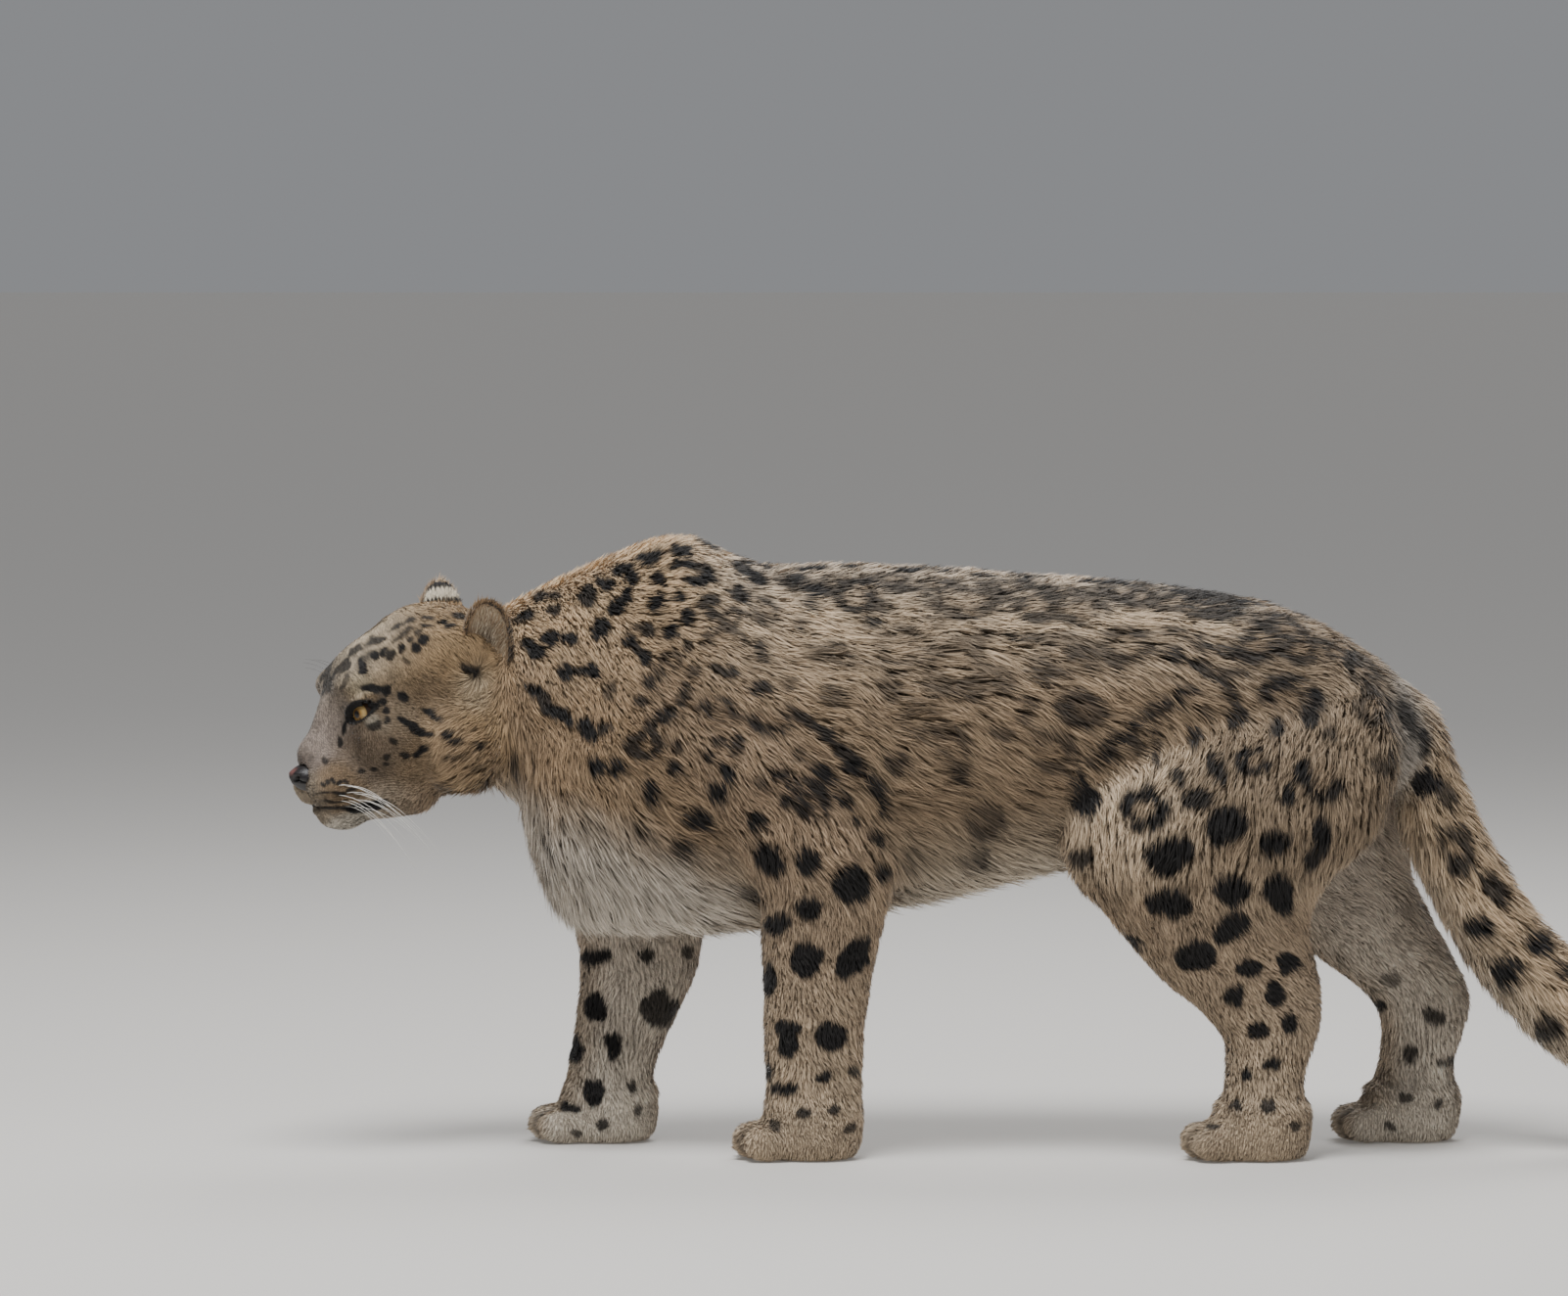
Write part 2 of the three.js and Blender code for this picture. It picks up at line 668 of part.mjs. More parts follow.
function insideLeg(point) {
  return Object.values(LEGS).some((table) => {
    const row = splineOf(table, downZ).rowAt(table[0][0] - point.z);
    const ahead = (row[1] - point.x) / (point.x < row[1] ? row[2] : row[3]);
    return point.z < table[0][0] && Math.hypot(ahead, (point.y - row[5]) / row[4]) < 1;
  });
}

// Locks of neck and body lie back along the flanks and hang a little more towards the belly.
function trunkLocks() {
  const { rowAt } = splineOf(TRUNK, alongX);
  const surface = (x, turn, grow) => trunkPoint(rowAt(x - TRUNK[0][0]), turn, grow);
  const { from, to, along, around, length } = TRUNK_LOCKS;
  const locks = [];
  let column = 0;
  for (let x = from; x <= to; x += along) {
    column += 1;
    for (const side of [-1, 1]) {
      for (let angle = TRUNK_LOCK_TOP + (column % 2) * around * 0.5; angle < 180; angle += around) {
        const turn = side * THREE.MathUtils.degToRad(angle + jitter(4));
        const place = x + jitter(STRAY * along);
        const droop = THREE.MathUtils.degToRad(angle < 90 ? TRUNK_DROOP.upper : TRUNK_DROOP.lower);
        if (!insideLeg(surface(place, turn, 0))) {
          const run = [length * (1 + jitter(STRAY)), Math.sin(turn) * droop];
          locks.push(lockBody(surface, [place, turn], run, trunkInset(turn), TRUNK_LOCKS));
        }
      }
    }
  }
  return locks;
}

function tailLocks() {
  const { places, rowAt } = splineOf(TAIL, inSpace);
  const near = 8;
  const surface = (place, turn, grow) => {
    const rows = [rowAt(place - near), rowAt(place), rowAt(place + near)];
    const middle = new THREE.Vector3(...rows[1]);
    const along = new THREE.Vector3(...rows[2]).sub(new THREE.Vector3(...rows[0])).normalize();
    const side = new THREE.Vector3(0, 1, 0).cross(along).normalize();
    const reach = rows[1][3] + grow;
    return middle
      .addScaledVector(side, reach * Math.cos(turn))
      .addScaledVector(along.clone().cross(side), reach * Math.sin(turn));
  };
  const { from, along, around, length } = TAIL_LOCKS;
  const locks = [];
  let ring = 0;
  for (let place = from; place < places.at(-1) - length; place += along) {
    ring += 1;
    for (let angle = (ring % 2) * around * 0.5; angle < 360; angle += around) {
      const start = [place + jitter(STRAY * along), THREE.MathUtils.degToRad(angle + jitter(8))];
      locks.push(lockBody(surface, start, [length, jitter(0.3)], INSET.tail, TAIL_LOCKS));
    }
  }
  return locks;
}

// Locks hang from the back of the thighs and elbows.
function legLocks(kind, table) {
  const { rowAt } = splineOf(table, downZ);
  const surface = (down, turn, grow) => legPoint(rowAt(down), turn, grow);
  const { from, to, along, turns, length } = LEG_LOCKS[kind];
  const locks = [];
  for (let z = from; z >= to; z -= along) {
    for (const angle of turns) {
      const start = [table[0][0] - z + jitter(8), THREE.MathUtils.degToRad(angle + jitter(4))];
      locks.push(lockBody(surface, start, [length, jitter(0.15)], INSET.leg, LEG_LOCKS[kind]));
    }
  }
  return locks;
}

// Locks of the cheeks' ruff point back and down.
function ruffLocks() {
  const { tilts, turns, length } = RUFF_LOCKS;
  const locks = [];
  for (const side of [-1, 1]) {
    for (const tilt of tilts) {
      for (const turn of turns) {
        const start = [tilt + jitter(4), side * (turn + jitter(5))].map(THREE.MathUtils.degToRad);
        const run = [(length * (1 + jitter(STRAY))) / RUFF_REACH, side * RUFF_TURN];
        locks.push(lockBody(headSurface, start, run, INSET.ruff, RUFF_LOCKS));
      }
    }
  }
  return locks;
}

// Building: each part is cut clear of the ones that it meets.
const animal = new THREE.Group();
THREE.MathUtils.seededRandom(LOCK_SEED);
const add = (body, material, name) => animal.add(meshOf(body, material, name));

const headWide = headBody(GAP);
const trunkWide = trunkBody(GAP);
const eyes = [-1, 1].map((side) => ({ side, word: side < 0 ? "left" : "right" }));

const lips = [lipBody(LIP.rise), lipBody(-LIP.rise - MOUTH_GAP)];
const ruff = wasm.Manifold.union(ruffLocks()).subtract(trunkWide);
let head = wasm.Manifold.union([headCore(), ruff, ...lips]);
for (const e of eyes) {
  head = head.subtract(socketBody(e.side)).add(lidBody(e.side)).subtract(eyeBody(e.side, GAP));
  add(eyeBody(e.side), materials.eye, `eye_${e.word}`);
  add(earBody(e.side).subtract(headWide).subtract(trunkWide), materials.coat, `ear_${e.word}`);
}
head = head.subtract(noseBody(GAP));
add(noseBody().subtract(nostrilBody(-1)).subtract(nostrilBody(1)), materials.nose, "nose");
const [upperHead, lowerJaw] = head
  .subtract(mouthBlade())
  .decompose()
  .sort((a, b) => b.volume() - a.volume());
add(upperHead, materials.coat, "head");
add(lowerJaw, materials.pale, "lower_jaw");

let trunk = wasm.Manifold.union([trunkCore(), ...trunkLocks()]);
for (const [name, table] of Object.entries(LEGS)) {
  const [kind, word] = name.split("_");
  const locks = wasm.Manifold.union(legLocks(kind, table)).subtract(trunkWide);
  const whole = legCore(kind, table).add(locks);
  const { names, heights } = LEG_CUTS[kind];
  const tops = [1000, ...heights, PAW_TOP];
  names.forEach((part, i) => {
    const piece = whole
      .trimByPlane([0, 0, -1], -tops[i] + GAP / 2)
      .trimByPlane([0, 0, 1], tops[i + 1] + GAP / 2);
    add(piece, materials.coat, `${part}_${word}`);
  });
  add(pawBody(table.at(-1)), materials.coat, `${kind.replace("leg", "")}paw_${word}`);
  trunk = trunk.subtract(legBody(table, GAP));
}
const sections = tailSections();
const wholeTail = wasm.Manifold.union([tailCore(), ...tailLocks()]);
trunk = trunk.subtract(loft(tailSections(GAP)));
const lastSection = sections.length - 1;
const tailPlanes = TAIL_CUTS.map((share) => sectionPlane(sections[Math.round(share * lastSection)]));
const tailNames = ["tail_base", "tail_upper", "tail_lower", "tail_tip"];
tailNames.forEach((name, i) => {
  let piece = wholeTail;
  if (i > 0) {
    const { normal, constant } = tailPlanes[i - 1];
    piece = piece.trimByPlane(normal.toArray(), -constant + GAP / 2);
  }
  if (i < tailPlanes.length) {
    const { normal, constant } = tailPlanes[i];
    piece = piece.trimByPlane(normal.clone().negate().toArray(), constant + GAP / 2);
  }
  add(piece, materials.coat, name);
});
const cut = NECK_CUT.normal.dot(NECK_CUT.at);
const normal = NECK_CUT.normal.toArray();
add(trunk.trimByPlane(normal, cut + GAP / 2).subtract(headWide), materials.coat, "neck");
add(trunk.trimByPlane(normal.map((n) => -n), -cut + GAP / 2), materials.coat, "torso");

export default animal;
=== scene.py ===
"""A snow leopard at life size, walking slowly with its head low and turned a little to its left.

A skin carries the markings, and the coat over it is made of tufts: thin, tapering blades that bend once.
Sizes in the tables are millimetres. The head points to -X and the animal's left side to -Y.
"""

import json
import math

import bmesh
import bpy
import numpy as np
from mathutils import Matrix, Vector
from mathutils.bvhtree import BVHTree
from mathutils.kdtree import KDTree

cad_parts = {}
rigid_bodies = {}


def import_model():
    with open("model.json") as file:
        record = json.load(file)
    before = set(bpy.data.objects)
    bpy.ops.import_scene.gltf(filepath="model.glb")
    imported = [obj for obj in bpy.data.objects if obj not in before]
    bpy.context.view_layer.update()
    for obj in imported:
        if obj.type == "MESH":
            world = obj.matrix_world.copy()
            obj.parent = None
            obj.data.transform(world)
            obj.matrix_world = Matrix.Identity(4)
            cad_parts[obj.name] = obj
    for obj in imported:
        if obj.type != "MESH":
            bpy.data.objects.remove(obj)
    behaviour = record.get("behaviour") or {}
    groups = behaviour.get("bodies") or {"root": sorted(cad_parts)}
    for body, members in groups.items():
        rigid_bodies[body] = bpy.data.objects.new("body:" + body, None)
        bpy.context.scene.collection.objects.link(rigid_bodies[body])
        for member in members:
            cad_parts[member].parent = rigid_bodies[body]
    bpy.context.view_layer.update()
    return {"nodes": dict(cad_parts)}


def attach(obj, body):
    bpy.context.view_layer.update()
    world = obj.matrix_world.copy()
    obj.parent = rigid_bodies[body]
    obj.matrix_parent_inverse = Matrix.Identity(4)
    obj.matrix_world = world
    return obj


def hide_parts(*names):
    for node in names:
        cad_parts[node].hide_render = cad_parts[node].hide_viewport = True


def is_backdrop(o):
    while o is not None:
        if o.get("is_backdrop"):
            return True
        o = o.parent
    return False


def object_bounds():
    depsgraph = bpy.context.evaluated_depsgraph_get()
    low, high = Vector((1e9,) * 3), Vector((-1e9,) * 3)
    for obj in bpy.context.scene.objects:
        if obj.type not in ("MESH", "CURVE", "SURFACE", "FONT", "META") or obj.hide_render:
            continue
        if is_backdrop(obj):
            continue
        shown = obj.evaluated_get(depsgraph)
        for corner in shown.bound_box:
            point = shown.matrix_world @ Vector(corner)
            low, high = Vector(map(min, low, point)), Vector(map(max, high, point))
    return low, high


for left_over in list(bpy.data.objects):
    bpy.data.objects.remove(left_over)
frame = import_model()

# Floor, light and camera
# A plain, flat and pale studio floor, one large soft light from above and two weaker ones.
# The camera stands level with the animal's left side, far away, as for the photo.

MM = 0.001
FLOOR_COLOUR = (0.62, 0.60, 0.57, 1)
FLOOR_HALF_SIZE = 30
FLOOR_GLOW = 0.15
CAMERA_TARGET = (-0.374, -0.06, 0.523)
CAMERA_ELEVATION = math.radians(4)
CAMERA_DISTANCE = 9.0
PHOTO_WIDTH = 1.602


def shader(material, name="Principled BSDF"):
    return material.node_tree.nodes[name]


def new_material(name):
    material = bpy.data.materials.new(name)
    material.use_nodes = True
    return material


def add_object(name, mesh, material=None):
    made = bpy.data.objects.new(name, mesh)
    bpy.context.scene.collection.objects.link(made)
    if material:
        mesh.materials.append(material)
    return made


def add_floor():
    bm = bmesh.new()
    bmesh.ops.create_grid(bm, x_segments=1, y_segments=1, size=FLOOR_HALF_SIZE)
    mesh = bpy.data.meshes.new("floor")
    bm.to_mesh(mesh)
    bm.free()
    material = new_material("floor")
    shader(material).inputs["Base Color"].default_value = FLOOR_COLOUR
    shader(material).inputs["Roughness"].default_value = 0.85
    shader(material).inputs["Emission Color"].default_value = FLOOR_COLOUR
    shader(material).inputs["Emission Strength"].default_value = FLOOR_GLOW
    floor = add_object("floor", mesh, material)
    floor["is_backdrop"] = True


def add_light(name, place, target, size, power):
    light = bpy.data.lights.new(name, "AREA")
    light.size = size
    light.energy = power
    lamp = bpy.data.objects.new(name, light)
    lamp.location = place
    lamp.rotation_euler = (Vector(target) - Vector(place)).to_track_quat("-Z", "Y").to_euler()
    bpy.context.scene.collection.objects.link(lamp)


add_floor()
add_light("key", (-0.9, -1.35, 3.6), (-0.1, 0, 0.4), 1.5, 170)
add_light("fill", (2.4, -2.6, 1.6), (0, 0, 0.4), 2.6, 18)
add_light("rim", (0.4, 2.0, 3.0), (0, 0, 0.5), 2.0, 60)
world = bpy.data.worlds.new("studio")
bpy.context.scene.world = world
world.use_nodes = True
world.node_tree.nodes["Background"].inputs["Color"].default_value = (0.86, 0.88, 0.92, 1)
world.node_tree.nodes["Background"].inputs["Strength"].default_value = 0.30

camera = bpy.data.objects.new("camera", bpy.data.cameras.new("camera"))
camera.data.sensor_width = 36
camera.data.lens = 36 * CAMERA_DISTANCE / PHOTO_WIDTH
camera.data.clip_end = 80
camera.location = Vector(CAMERA_TARGET) + CAMERA_DISTANCE * Vector(
    (0, -math.cos(CAMERA_ELEVATION), math.sin(CAMERA_ELEVATION))
)
camera.rotation_euler = (Vector(CAMERA_TARGET) - camera.location).to_track_quat("-Z", "Y").to_euler()
bpy.context.scene.collection.objects.link(camera)
bpy.context.scene.camera = camera

# Skin
# The hide with the flesh under it: neck and body, legs, paws and tail as tubes of rings, and the head as
# a ball wrapped onto its blended masses. They are fused into one skin that lies under the coat.

# x, height of the back, height of the belly, half width, all to the tips of the coat
TRUNK = [
    (-690, 548, 392, 60),
    (-665, 562, 374, 74),
    (-645, 573, 364, 80),
    (-635, 578, 347, 83),
    (-625, 583, 316, 86),
    (-613, 589, 275, 90),
    (-595, 597, 240, 96),
    (-560, 612, 224, 104),
    (-520, 623, 220, 112),
    (-475, 625, 222, 120),
    (-425, 612, 229, 126),
    (-390, 605, 235, 130),
    (-325, 606, 245, 135),
    (-225, 602, 260, 138),
    (-125, 595, 286, 135),
    (-25, 588, 308, 127),
    (55, 578, 320, 120),
    (125, 563, 326, 114),
    (185, 538, 334, 104),
    (235, 506, 350, 84),
    (268, 474, 378, 56),
    (284, 452, 402, 30),
]
# Shoulder blades, shoulders and hips stand out: x, spread, angle from the top, fan, height
TRUNK_BUMPS = [(-482, 52, 26, 20, 24), (-430, 60, 62, 26, 9), (150, 60, 40, 24, 8)]
# height, x, reach forward, reach back, half width, y of the middle
LEGS = {
    "foreleg_left": [
        (520, -450, 56, 52, 12, -82),
        (490, -436, 88, 80, 23, -90),
        (452, -418, 98, 92, 33, -93),
        (410, -394, 92, 88, 41, -94),
        (335, -352, 84, 88, 46, -89),
        (275, -331, 70, 69, 45, -84),
        (225, -335, 65, 63, 43, -80),
        (175, -339, 58, 58, 41, -77),
        (125, -343, 54, 55, 39, -75),
        (85, -343, 52, 54, 38, -74),
        (30, -344, 53, 52, 39, -74),
    ],
    "foreleg_right": [
        (520, -485, 56, 52, 12, 82),
        (490, -474, 86, 78, 23, 90),
        (450, -468, 96, 88, 33, 93),
        (395, -470, 92, 84, 41, 93),
        (305, -488, 88, 82, 45, 88),
        (235, -520, 73, 72, 44, 82),
        (185, -524, 65, 66, 41, 78),
        (145, -533, 58, 59, 38, 76),
        (105, -545, 51, 52, 36, 75),
        (75, -553, 47, 48, 37, 74),
        (30, -556, 48, 48, 38, 74),
    ],
    "hindleg_left": [
        (528, 150, 40, 40, 10, -46),
        (485, 145, 92, 88, 24, -70),
        (435, 116, 146, 140, 42, -86),
        (385, 88, 170, 164, 54, -90),
        (335, 71, 163, 160, 56, -90),
        (295, 54, 137, 136, 52, -87),
        (255, 60, 109, 108, 48, -84),
        (215, 76, 93, 95, 43, -81),
        (182, 96, 84, 84, 38, -79),
        (150, 118, 66, 64, 34, -78),
        (122, 124, 51, 51, 32, -78),
        (90, 120, 45, 44, 33, -78),
        (30, 115, 47, 46, 36, -78),
    ],
    "hindleg_right": [
        (524, 165, 36, 36, 10, 44),
        (485, 160, 86, 82, 24, 70),
        (435, 150, 124, 120, 42, 86),
        (385, 147, 134, 132, 53, 90),
        (335, 157, 119, 120, 54, 89),
        (285, 182, 98, 98, 49, 86),
        (235, 217, 83, 85, 44, 83),
        (190, 254, 72, 74, 39, 80),
        (155, 286, 58, 58, 34, 79),
        (122, 292, 48, 49, 32, 78),
        (90, 286, 43, 43, 33, 78),
        (30, 279, 46, 45, 36, 78),
    ],
}
# Foot under each leg: height, reach forward, reach back, half width; the toes: side, back
PAW_LEVELS = [(58, 46, 47, 37), (40, 50, 50, 40), (18, 52, 48, 40), (7, 50, 44, 37), (2, 44, 37, 31)]
PAW_REACH = 66
# How far from the middle of a paw the outer lines of painted shade between its toes are
TOE_SHADE_LINE = 21
TOES = [(-31, 17), (-11, 5), (11, 5), (31, 17)]
TOE_SIZE = (25, 11.5, 18)
# x, y, z, radius with its fur
TAIL = [
    (232, 0, 470, 34),
    (262, 0, 440, 40),
    (283, -2, 385, 41),
    (303, -5, 330, 42),
    (327, -8, 285, 43),
    (355, -11, 235, 45),
    (390, -14, 190, 47),
    (450, -17, 138, 50),
    (528, -18, 100, 52),
    (615, -14, 84, 52),
    (700, -4, 94, 51),
    (780, 8, 126, 48),
    (840, 18, 172, 39),
    (862, 22, 196, 22),
]
# How deep the skin lies under the tips of the coat
DEPTH = {"back": 7, "flank": 8, "belly": 18, "chest": 13, "leg": 4.5, "leg_back": 7, "tail": 11}
HEAD_PIVOT = np.array((-675.0, 0, 480))
HEAD_YAW = math.radians(22)
# forward, aside, up from the pivot, then three half sizes; those with a side stand on both sides
HEAD_MASSES = {
    "cranium": ((60, 0, 14), (84, 63, 76)),
    "forehead": ((122, 0, 4), (57, 44, 49)),
    "brow": ((155, 29, 4), (25, 19, 16)),
    "temple": ((44, 44, 26), (42, 28, 42)),
    "bridge": ((163, 0, -34), (30, 23, 30)),
    "nose_ridge": ((180, 0, -64), (31, 19, 23)),
    "muzzle": ((150, 0, -87), (52, 39, 33)),
    "whisker_pad": ((178, 23, -98), (29, 23, 22)),
    "chin": ((164, 0, -127), (25, 21, 20)),
    "jaw": ((116, 24, -108), (52, 23, 23)),
    "throat": ((76, 0, -78), (74, 52, 34)),
    "face": ((120, 0, -50), (53, 41, 49)),
    "cheekbone": ((112, 38, -42), (48, 27, 31)),
    "ruff": ((46, 57, -56), (46, 34, 55)),
}
HEAD_BLEND = 22
HEAD_CENTRE = np.array((98.0, 0, -42))
SKIN_VOXEL = 6.3


def spline(rows, places):
    """The rows of a table, read smoothly at the given places of their first column."""
    rows = np.array(rows, float)
    if rows[0, 0] > rows[-1, 0]:
        rows = rows[::-1]
    at, values = rows[:, 0], rows[:, 1:]
    secants = np.diff(values, axis=0) / np.diff(at)[:, None]
    slopes = np.vstack([secants[:1], (secants[1:] + secants[:-1]) / 2, secants[-1:]])
    places = np.clip(places, at[0], at[-1])
    i = np.clip(np.searchsorted(at, places) - 1, 0, len(at) - 2)
    step = (at[i + 1] - at[i])[:, None]
    t = (places[:, None] - at[i][:, None]) / step
    return (
        (2 * t**3 - 3 * t**2 + 1) * values[i]
        + (t**3 - 2 * t**2 + t) * step * slopes[i]
        + (3 * t**2 - 2 * t**3) * values[i + 1]
        + (t**3 - t**2) * step * slopes[i + 1]
    )


def ramp(value, low, high):
    t = np.clip((value - low) / (high - low), 0, 1)
    return t * t * (3 - 2 * t)


def unit(vectors):
    return vectors / np.maximum(np.linalg.norm(vectors, axis=-1, keepdims=True), 1e-9)


def tube(bm, sections):
    """Rings of points bridged into a closed tube."""
    loops = []
    for section in sections:
        ring = bmesh.ops.create_circle(bm, cap_ends=False, radius=1, segments=len(section))["verts"]
        for vert, point in zip(ring, section):
            vert.co = point
        loops.append(list({edge for vert in ring for edge in vert.link_edges}))
    for before, after in zip(loops, loops[1:]):
        bmesh.ops.bridge_loops(bm, edges=before + after)
    for end in (loops[0], loops[-1]):
        bmesh.ops.edgeloop_fill(bm, edges=end)


def head_axes(vectors):
    """Head directions (forward, aside, up) as directions of the frame."""
    c, s = math.cos(HEAD_YAW), math.sin(HEAD_YAW)
    forward, aside, up = np.moveaxis(np.asarray(vectors, float), -1, 0)
    return np.stack([-c * forward - s * aside, -s * forward + c * aside, up], -1)


def head_point(points):
    return head_axes(points) + HEAD_PIVOT


def into_head(points):
    """Points of the frame in the head's own directions."""
    c, s = math.cos(HEAD_YAW), math.sin(HEAD_YAW)
    x, y, z = np.moveaxis(np.asarray(points, float) - HEAD_PIVOT, -1, 0)
    return np.stack([-c * x - s * y, -s * x + c * y, z], -1)


def nearness(points, at, size):
    q = (points - at) / size
    k0 = np.linalg.norm(q, axis=-1)
    k1 = np.linalg.norm(q / size, axis=-1)
    return k0 * (k0 - 1) / np.maximum(k1, 1e-9)


def soft_join(a, b, blend):
    h = np.maximum(blend - np.abs(a - b), 0) / blend
    return np.minimum(a, b) - h * h * blend / 4


def head_depth(points):
    """How deep the skin of the head lies under the coat: hardly on the face, deepest in the ruff."""
    forward, _, up = np.moveaxis(points, -1, 0)
    ruff = ramp(110 - forward, 0, 60) * ramp(10 - up, 0, 50)
    crown = ramp(130 - forward, 0, 60)
    return 2.0 + 2.2 * crown + 5 * ruff


def head_field(points):
    folded = points * (1, 0, 1) + np.abs(points) * (0, 1, 0)
    field = None
    for at, size in HEAD_MASSES.values():
        mass = nearness(folded, np.array(at, float), np.array(size, float))
        field = mass if field is None else soft_join(field, mass, HEAD_BLEND)
    return field + head_depth(points)


def head_wrap(rays):
    """Where rays that leave the head's centre come out of its skin, in the head's directions."""
    reach = np.full(len(rays), 150.0)
    for step in np.arange(146.0, 0, -4):
        out = head_field(HEAD_CENTRE + rays * step) > 0
        open_still = reach > step + 3.9
        reach = np.where(out & open_still, step, reach)
    inside = reach - 4
    for _ in range(10):
        half = (inside + reach) / 2
        out = head_field(HEAD_CENTRE + rays * half[:, None]) > 0
        reach = np.where(out, half, reach)
        inside = np.where(out, inside, half)
    return HEAD_CENTRE + rays * inside[:, None]


def trunk_section(row, turns):
    x, top, belly, half = row
    degrees = np.degrees(np.arccos(np.cos(turns)))
    low = degrees / 180
    front = ramp(-540 - x, 0, 60)
    depth = np.interp(low, (0, 0.2, 0.6, 1), (DEPTH["back"], DEPTH["flank"], DEPTH["flank"], DEPTH["belly"]))
    front_depth = np.interp(low, (0, 0.5, 1), (DEPTH["back"], DEPTH["flank"], DEPTH["chest"]))
    depth = depth * (1 - front) + front * front_depth
    bump = -depth
    for at, spread, angle, fan, height in TRUNK_BUMPS:
        bump = bump + height * np.exp(-(((x - at) / spread) ** 2) - ((degrees - angle) / fan) ** 2)
    middle = (top + belly) / 2
    across = (half + bump) * np.sin(turns)
    up = middle + ((top - belly) / 2 + bump) * np.cos(turns)
    return np.stack([np.full_like(turns, x), across, up], -1)


def turns_of(count):
    return np.linspace(0, 2 * math.pi, count, endpoint=False)


def trunk_tube(bm):
    places = np.arange(-686.0, 283, 10)
    rows = np.column_stack([places, spline(TRUNK, places)])
    sections = [trunk_section(row, turns_of(56)) for row in rows]
    tube(bm, sections)
    return sections


def leg_tube(bm, table):
    heights = np.arange(table[0][0] - 4.0, 29, -8)
    turns = turns_of(32)
    sections = []
    for z, (x, front, back, side, y) in zip(heights, spline(table, heights)):
        ahead = np.cos(turns)
        depth = np.where(ahead > 0, DEPTH["leg"], DEPTH["leg"] + (DEPTH["leg_back"] - DEPTH["leg"]) * -ahead)
        reach = np.where(ahead > 0, front, back) - depth
        aside = (side - DEPTH["leg"]) * np.sin(turns)
        sections.append(np.stack([x - reach * ahead, y + aside, np.full_like(turns, z)], -1))
    tube(bm, sections)
    return sections


def add_ball(bm, at, size, turn=0.0):
    ball = bmesh.ops.create_uvsphere(bm, u_segments=24, v_segments=16, radius=1)["verts"]
    c, s = math.cos(turn), math.sin(turn)
    for vert in ball:
        x, y, z = vert.co.x * size[0], vert.co.y * size[1], vert.co.z * size[2]
        vert.co = (at[0] + c * x - s * y, at[1] + s * x + c * y, at[2] + z)


def paw(bm, foot):
    x, _, _, _, y = foot
    turns = turns_of(32)
    sections = []
    for z, reach, heel, half in PAW_LEVELS:
        ahead = np.cos(turns)
        along = x - np.where(ahead > 0, reach, heel) * ahead
        sections.append(np.stack([along, y + half * np.sin(turns), np.full_like(turns, z)], -1))
    tube(bm, sections)
    for aside, behind in TOES:
        fan = math.radians(-aside * 0.35)
        add_ball(bm, (x - PAW_REACH + behind + 3, y + aside, TOE_SIZE[2] + 1.5), TOE_SIZE, fan)


def tail_rows(step):
    table = np.array(TAIL, float)
    places = np.concatenate([[0], np.cumsum(np.linalg.norm(np.diff(table[:, :3], axis=0), axis=1))])
    along = np.arange(0, places[-1] + step * 0.5, step)
    rows = spline(np.column_stack([places, table]), along)
    ahead = unit(np.gradient(rows[:, :3], axis=0))
    return along, rows, ahead


def tail_tube(bm):
    along, rows, ahead = tail_rows(10)
    turns = turns_of(32)
    left = along[-1] - along
    sections = []
    for row, direction, rest in zip(rows, ahead, left):
        side = unit(np.cross((0, 1, 0), direction))
        up = np.cross(direction, side)
        radius = row[3] - DEPTH["tail"] * min(1, 0.25 + rest / 90)
        sections.append(row[:3] + radius * (np.outer(np.cos(turns), side) + np.outer(np.sin(turns), up)))
    tube(bm, sections)
    return sections, ahead


def head_ball(bm):
    ball = bmesh.ops.create_icosphere(bm, subdivisions=6, radius=1)["verts"]
    rays = np.array([vert.co for vert in ball])
    points = head_point(head_wrap(unit(rays)))
    for vert, point in zip(ball, points):
        vert.co = point
    return points


skin_bm = bmesh.new()
trunk_sections = trunk_tube(skin_bm)
leg_sections = {name: leg_tube(skin_bm, table) for name, table in LEGS.items()}
for table in LEGS.values():
    paw(skin_bm, table[-1][1:])
tail_sections, tail_ahead = tail_tube(skin_bm)
head_points = head_ball(skin_bm)
bmesh.ops.recalc_face_normals(skin_bm, faces=skin_bm.faces)
skin_mesh = bpy.data.meshes.new("skin")
skin_bm.to_mesh(skin_mesh)
skin_bm.free()
skin = add_object("skin", skin_mesh)
remesh = skin.modifiers.new("fuse", "REMESH")
remesh.mode = "VOXEL"
remesh.voxel_size = SKIN_VOXEL
remesh.adaptivity = 0
depsgraph = bpy.context.evaluated_depsgraph_get()
fused = bpy.data.meshes.new_from_object(skin.evaluated_get(depsgraph))
skin.modifiers.clear()
skin.data = fused

# Face
# The fused skin is smoothed where legs, tail and head grow from the body. Then the face gets finer faces,
# which are set onto the head's own surface again, with the eyes' sockets, the mouth and the nose in it.

EYE_AT = np.array((147.0, 36, -21))
EYE_RADIUS = 17.0
EYE_OUTWARD = math.radians(34)
EYE_UP = math.radians(2)
EYE_SLANT = math.radians(28)
# The opening of the lids on the ball, from its middle: half width, height up, height down
LIDS = (16.2, 10.4, 8.4)
NOSE_AT = np.array((201.0, 0, -88.5))
NOSE_SIZE = np.array((19.0, 18.5, 14.0))
# The line between the lips: forward, up
MOUTH = [(104, -162), (112, -140), (131, -111), (150, -114), (175, -118), (196, -119), (225, -114)]
MOUTH_END = 133
MOUTH_GROOVE = 2.6
SKIN_ROUNDS = 11


